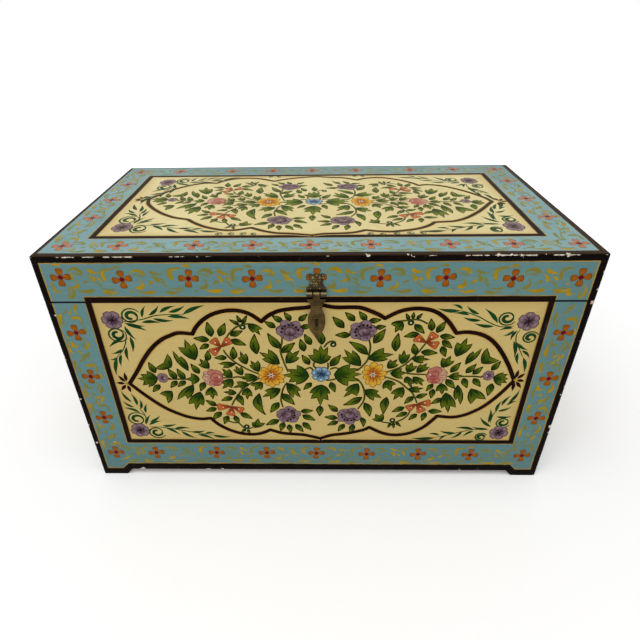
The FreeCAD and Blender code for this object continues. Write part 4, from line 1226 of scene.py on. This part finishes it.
# Ends of the box and the lid
# Narrow panels of the same kind on the end boards: the middle of the long pattern inside a short cartouche,
# with small corner sprigs, and the border carried round on to the lid's end rails.
end_middle = 178
end_quarter = (
    ((-106, 178), (-100, 192), (-92, 206), (-82, 218), (-70, 226), (-58, 228)),
    ((-58, 228), (-53, 240), (-44, 251), (-33, 258), (-22, 261), (-13, 261)),
    ((-13, 261), (-8, 267), (0, 275)),
)
end_cartouche = [[(x * side, end_middle + (y - end_middle) * turn) for x, y in lobe] for lobe in end_quarter
                 for side in (1, -1) for turn in (1, -1)]


def in_the_end_cartouche(place):
    return (abs(place[0] - 5) / 104) ** 1.5 + (abs(place[1] - 181) / 93) ** 1.5 < 1.0


for name, middle, across in (("left", (-half_long, 0, 0), (0, -1, 0)),
                             ("right", (half_long, 0, 0), (0, 1, 0))):
    end_face = Face(name + "_end_painting", "box", middle, across, (0, 0, 1))
    cartouche(end_face, end_cartouche, (), 2.1)
    end_face.move((0.86, 0.86), (-4.3, 22.3))
    leafage(end_face, in_the_end_cartouche)
    flowers(end_face, in_the_end_cartouche)
    end_face.move((0.62, 0.62))
    sprigs(end_face, 0.7, ((49.3, 100.6), (49.3, 38.1), (-50.7, 103.2), (-50.7, 40.1)))
    end_face.move()
    border_row(end_face, even_row(-140, 5, 42), 0, 0.8)
    lid_end = Face("lid_" + name + "_painting", "lid", middle, across, (0, 0, 1))
    border_row(lid_end, even_row(-140, 5, 316), 1)
    for side in (-140, 140):
        even_column(end_face, side)
        lid_column(lid_end, (side, 316), (side, 244), 2)
    end_face.lay()
    lid_end.lay()
bpy.data.objects.remove(brush)

# Floor, light and camera
# A plain pale floor against a white backdrop, one broad soft lamp above and in front, and the camera where
# the photograph was taken from.


def in_view(start):
    """1 where the camera sees it, straight or by a reflection or through glass, and 0 where it only lights"""
    rays = ("Is Camera Ray", "Is Glossy Ray", "Is Transmission Ray")
    return sum(start.node("LightPath", {}, {}, ray) for ray in rays).least(1.0)


bpy.ops.object.select_all(action="DESELECT")
bpy.ops.mesh.primitive_plane_add(size=30.0, location=(0, 0, 0))
floor = bpy.context.object
floor.name = "floor"
pale_floor, shader, place = new_finish("pale_floor")
shader.inputs["Base Color"].default_value = (0.93, 0.93, 0.93, 1)
shader.inputs["Roughness"].default_value = 0.9
shader.inputs["Specular IOR Level"].default_value = 0.0
shader.inputs["Emission Strength"].default_value = 1.0
from_trunk = place.node("VectorMath", {"operation": "LENGTH"}, {0: place}, "Value")
feed(shader, "Emission Color", in_view(place) * (0.14 + from_trunk.rise(0.4, 1.6) * 0.5))
floor.data.materials.append(pale_floor)

world = bpy.data.worlds.new("studio")
bpy.context.scene.world = world
world.use_nodes = True
backdrop = world.node_tree.nodes["Background"]
backdrop.inputs["Color"].default_value = (1.0, 1.0, 1.0, 1)
feed(backdrop, "Strength", 0.5 + in_view(Shade(world.node_tree)) * 0.5)

bpy.ops.object.light_add(type="AREA", location=(-0.3, -0.9, 2.7))
lamp = bpy.context.object
lamp.name = "softbox"
lamp.data.size = 2.0
lamp.data.energy = 44.0
lamp.rotation_euler = (Vector((0, 0, 0.2)) - lamp.location).to_track_quat("-Z", "Y").to_euler()

bpy.ops.object.camera_add(location=(0.0033, -0.6205, 0.564))
camera = bpy.context.object
camera.rotation_euler = [math.radians(turn) for turn in (58.308, 0.763, 0.927)]
camera.data.sensor_width = 36.0
camera.data.lens = 27.148
camera.data.shift_x = 0.0164
camera.data.shift_y = -0.0243
camera.data.clip_start = 0.05
scene = bpy.context.scene
scene.camera = camera
scene.view_settings.view_transform = "Standard"
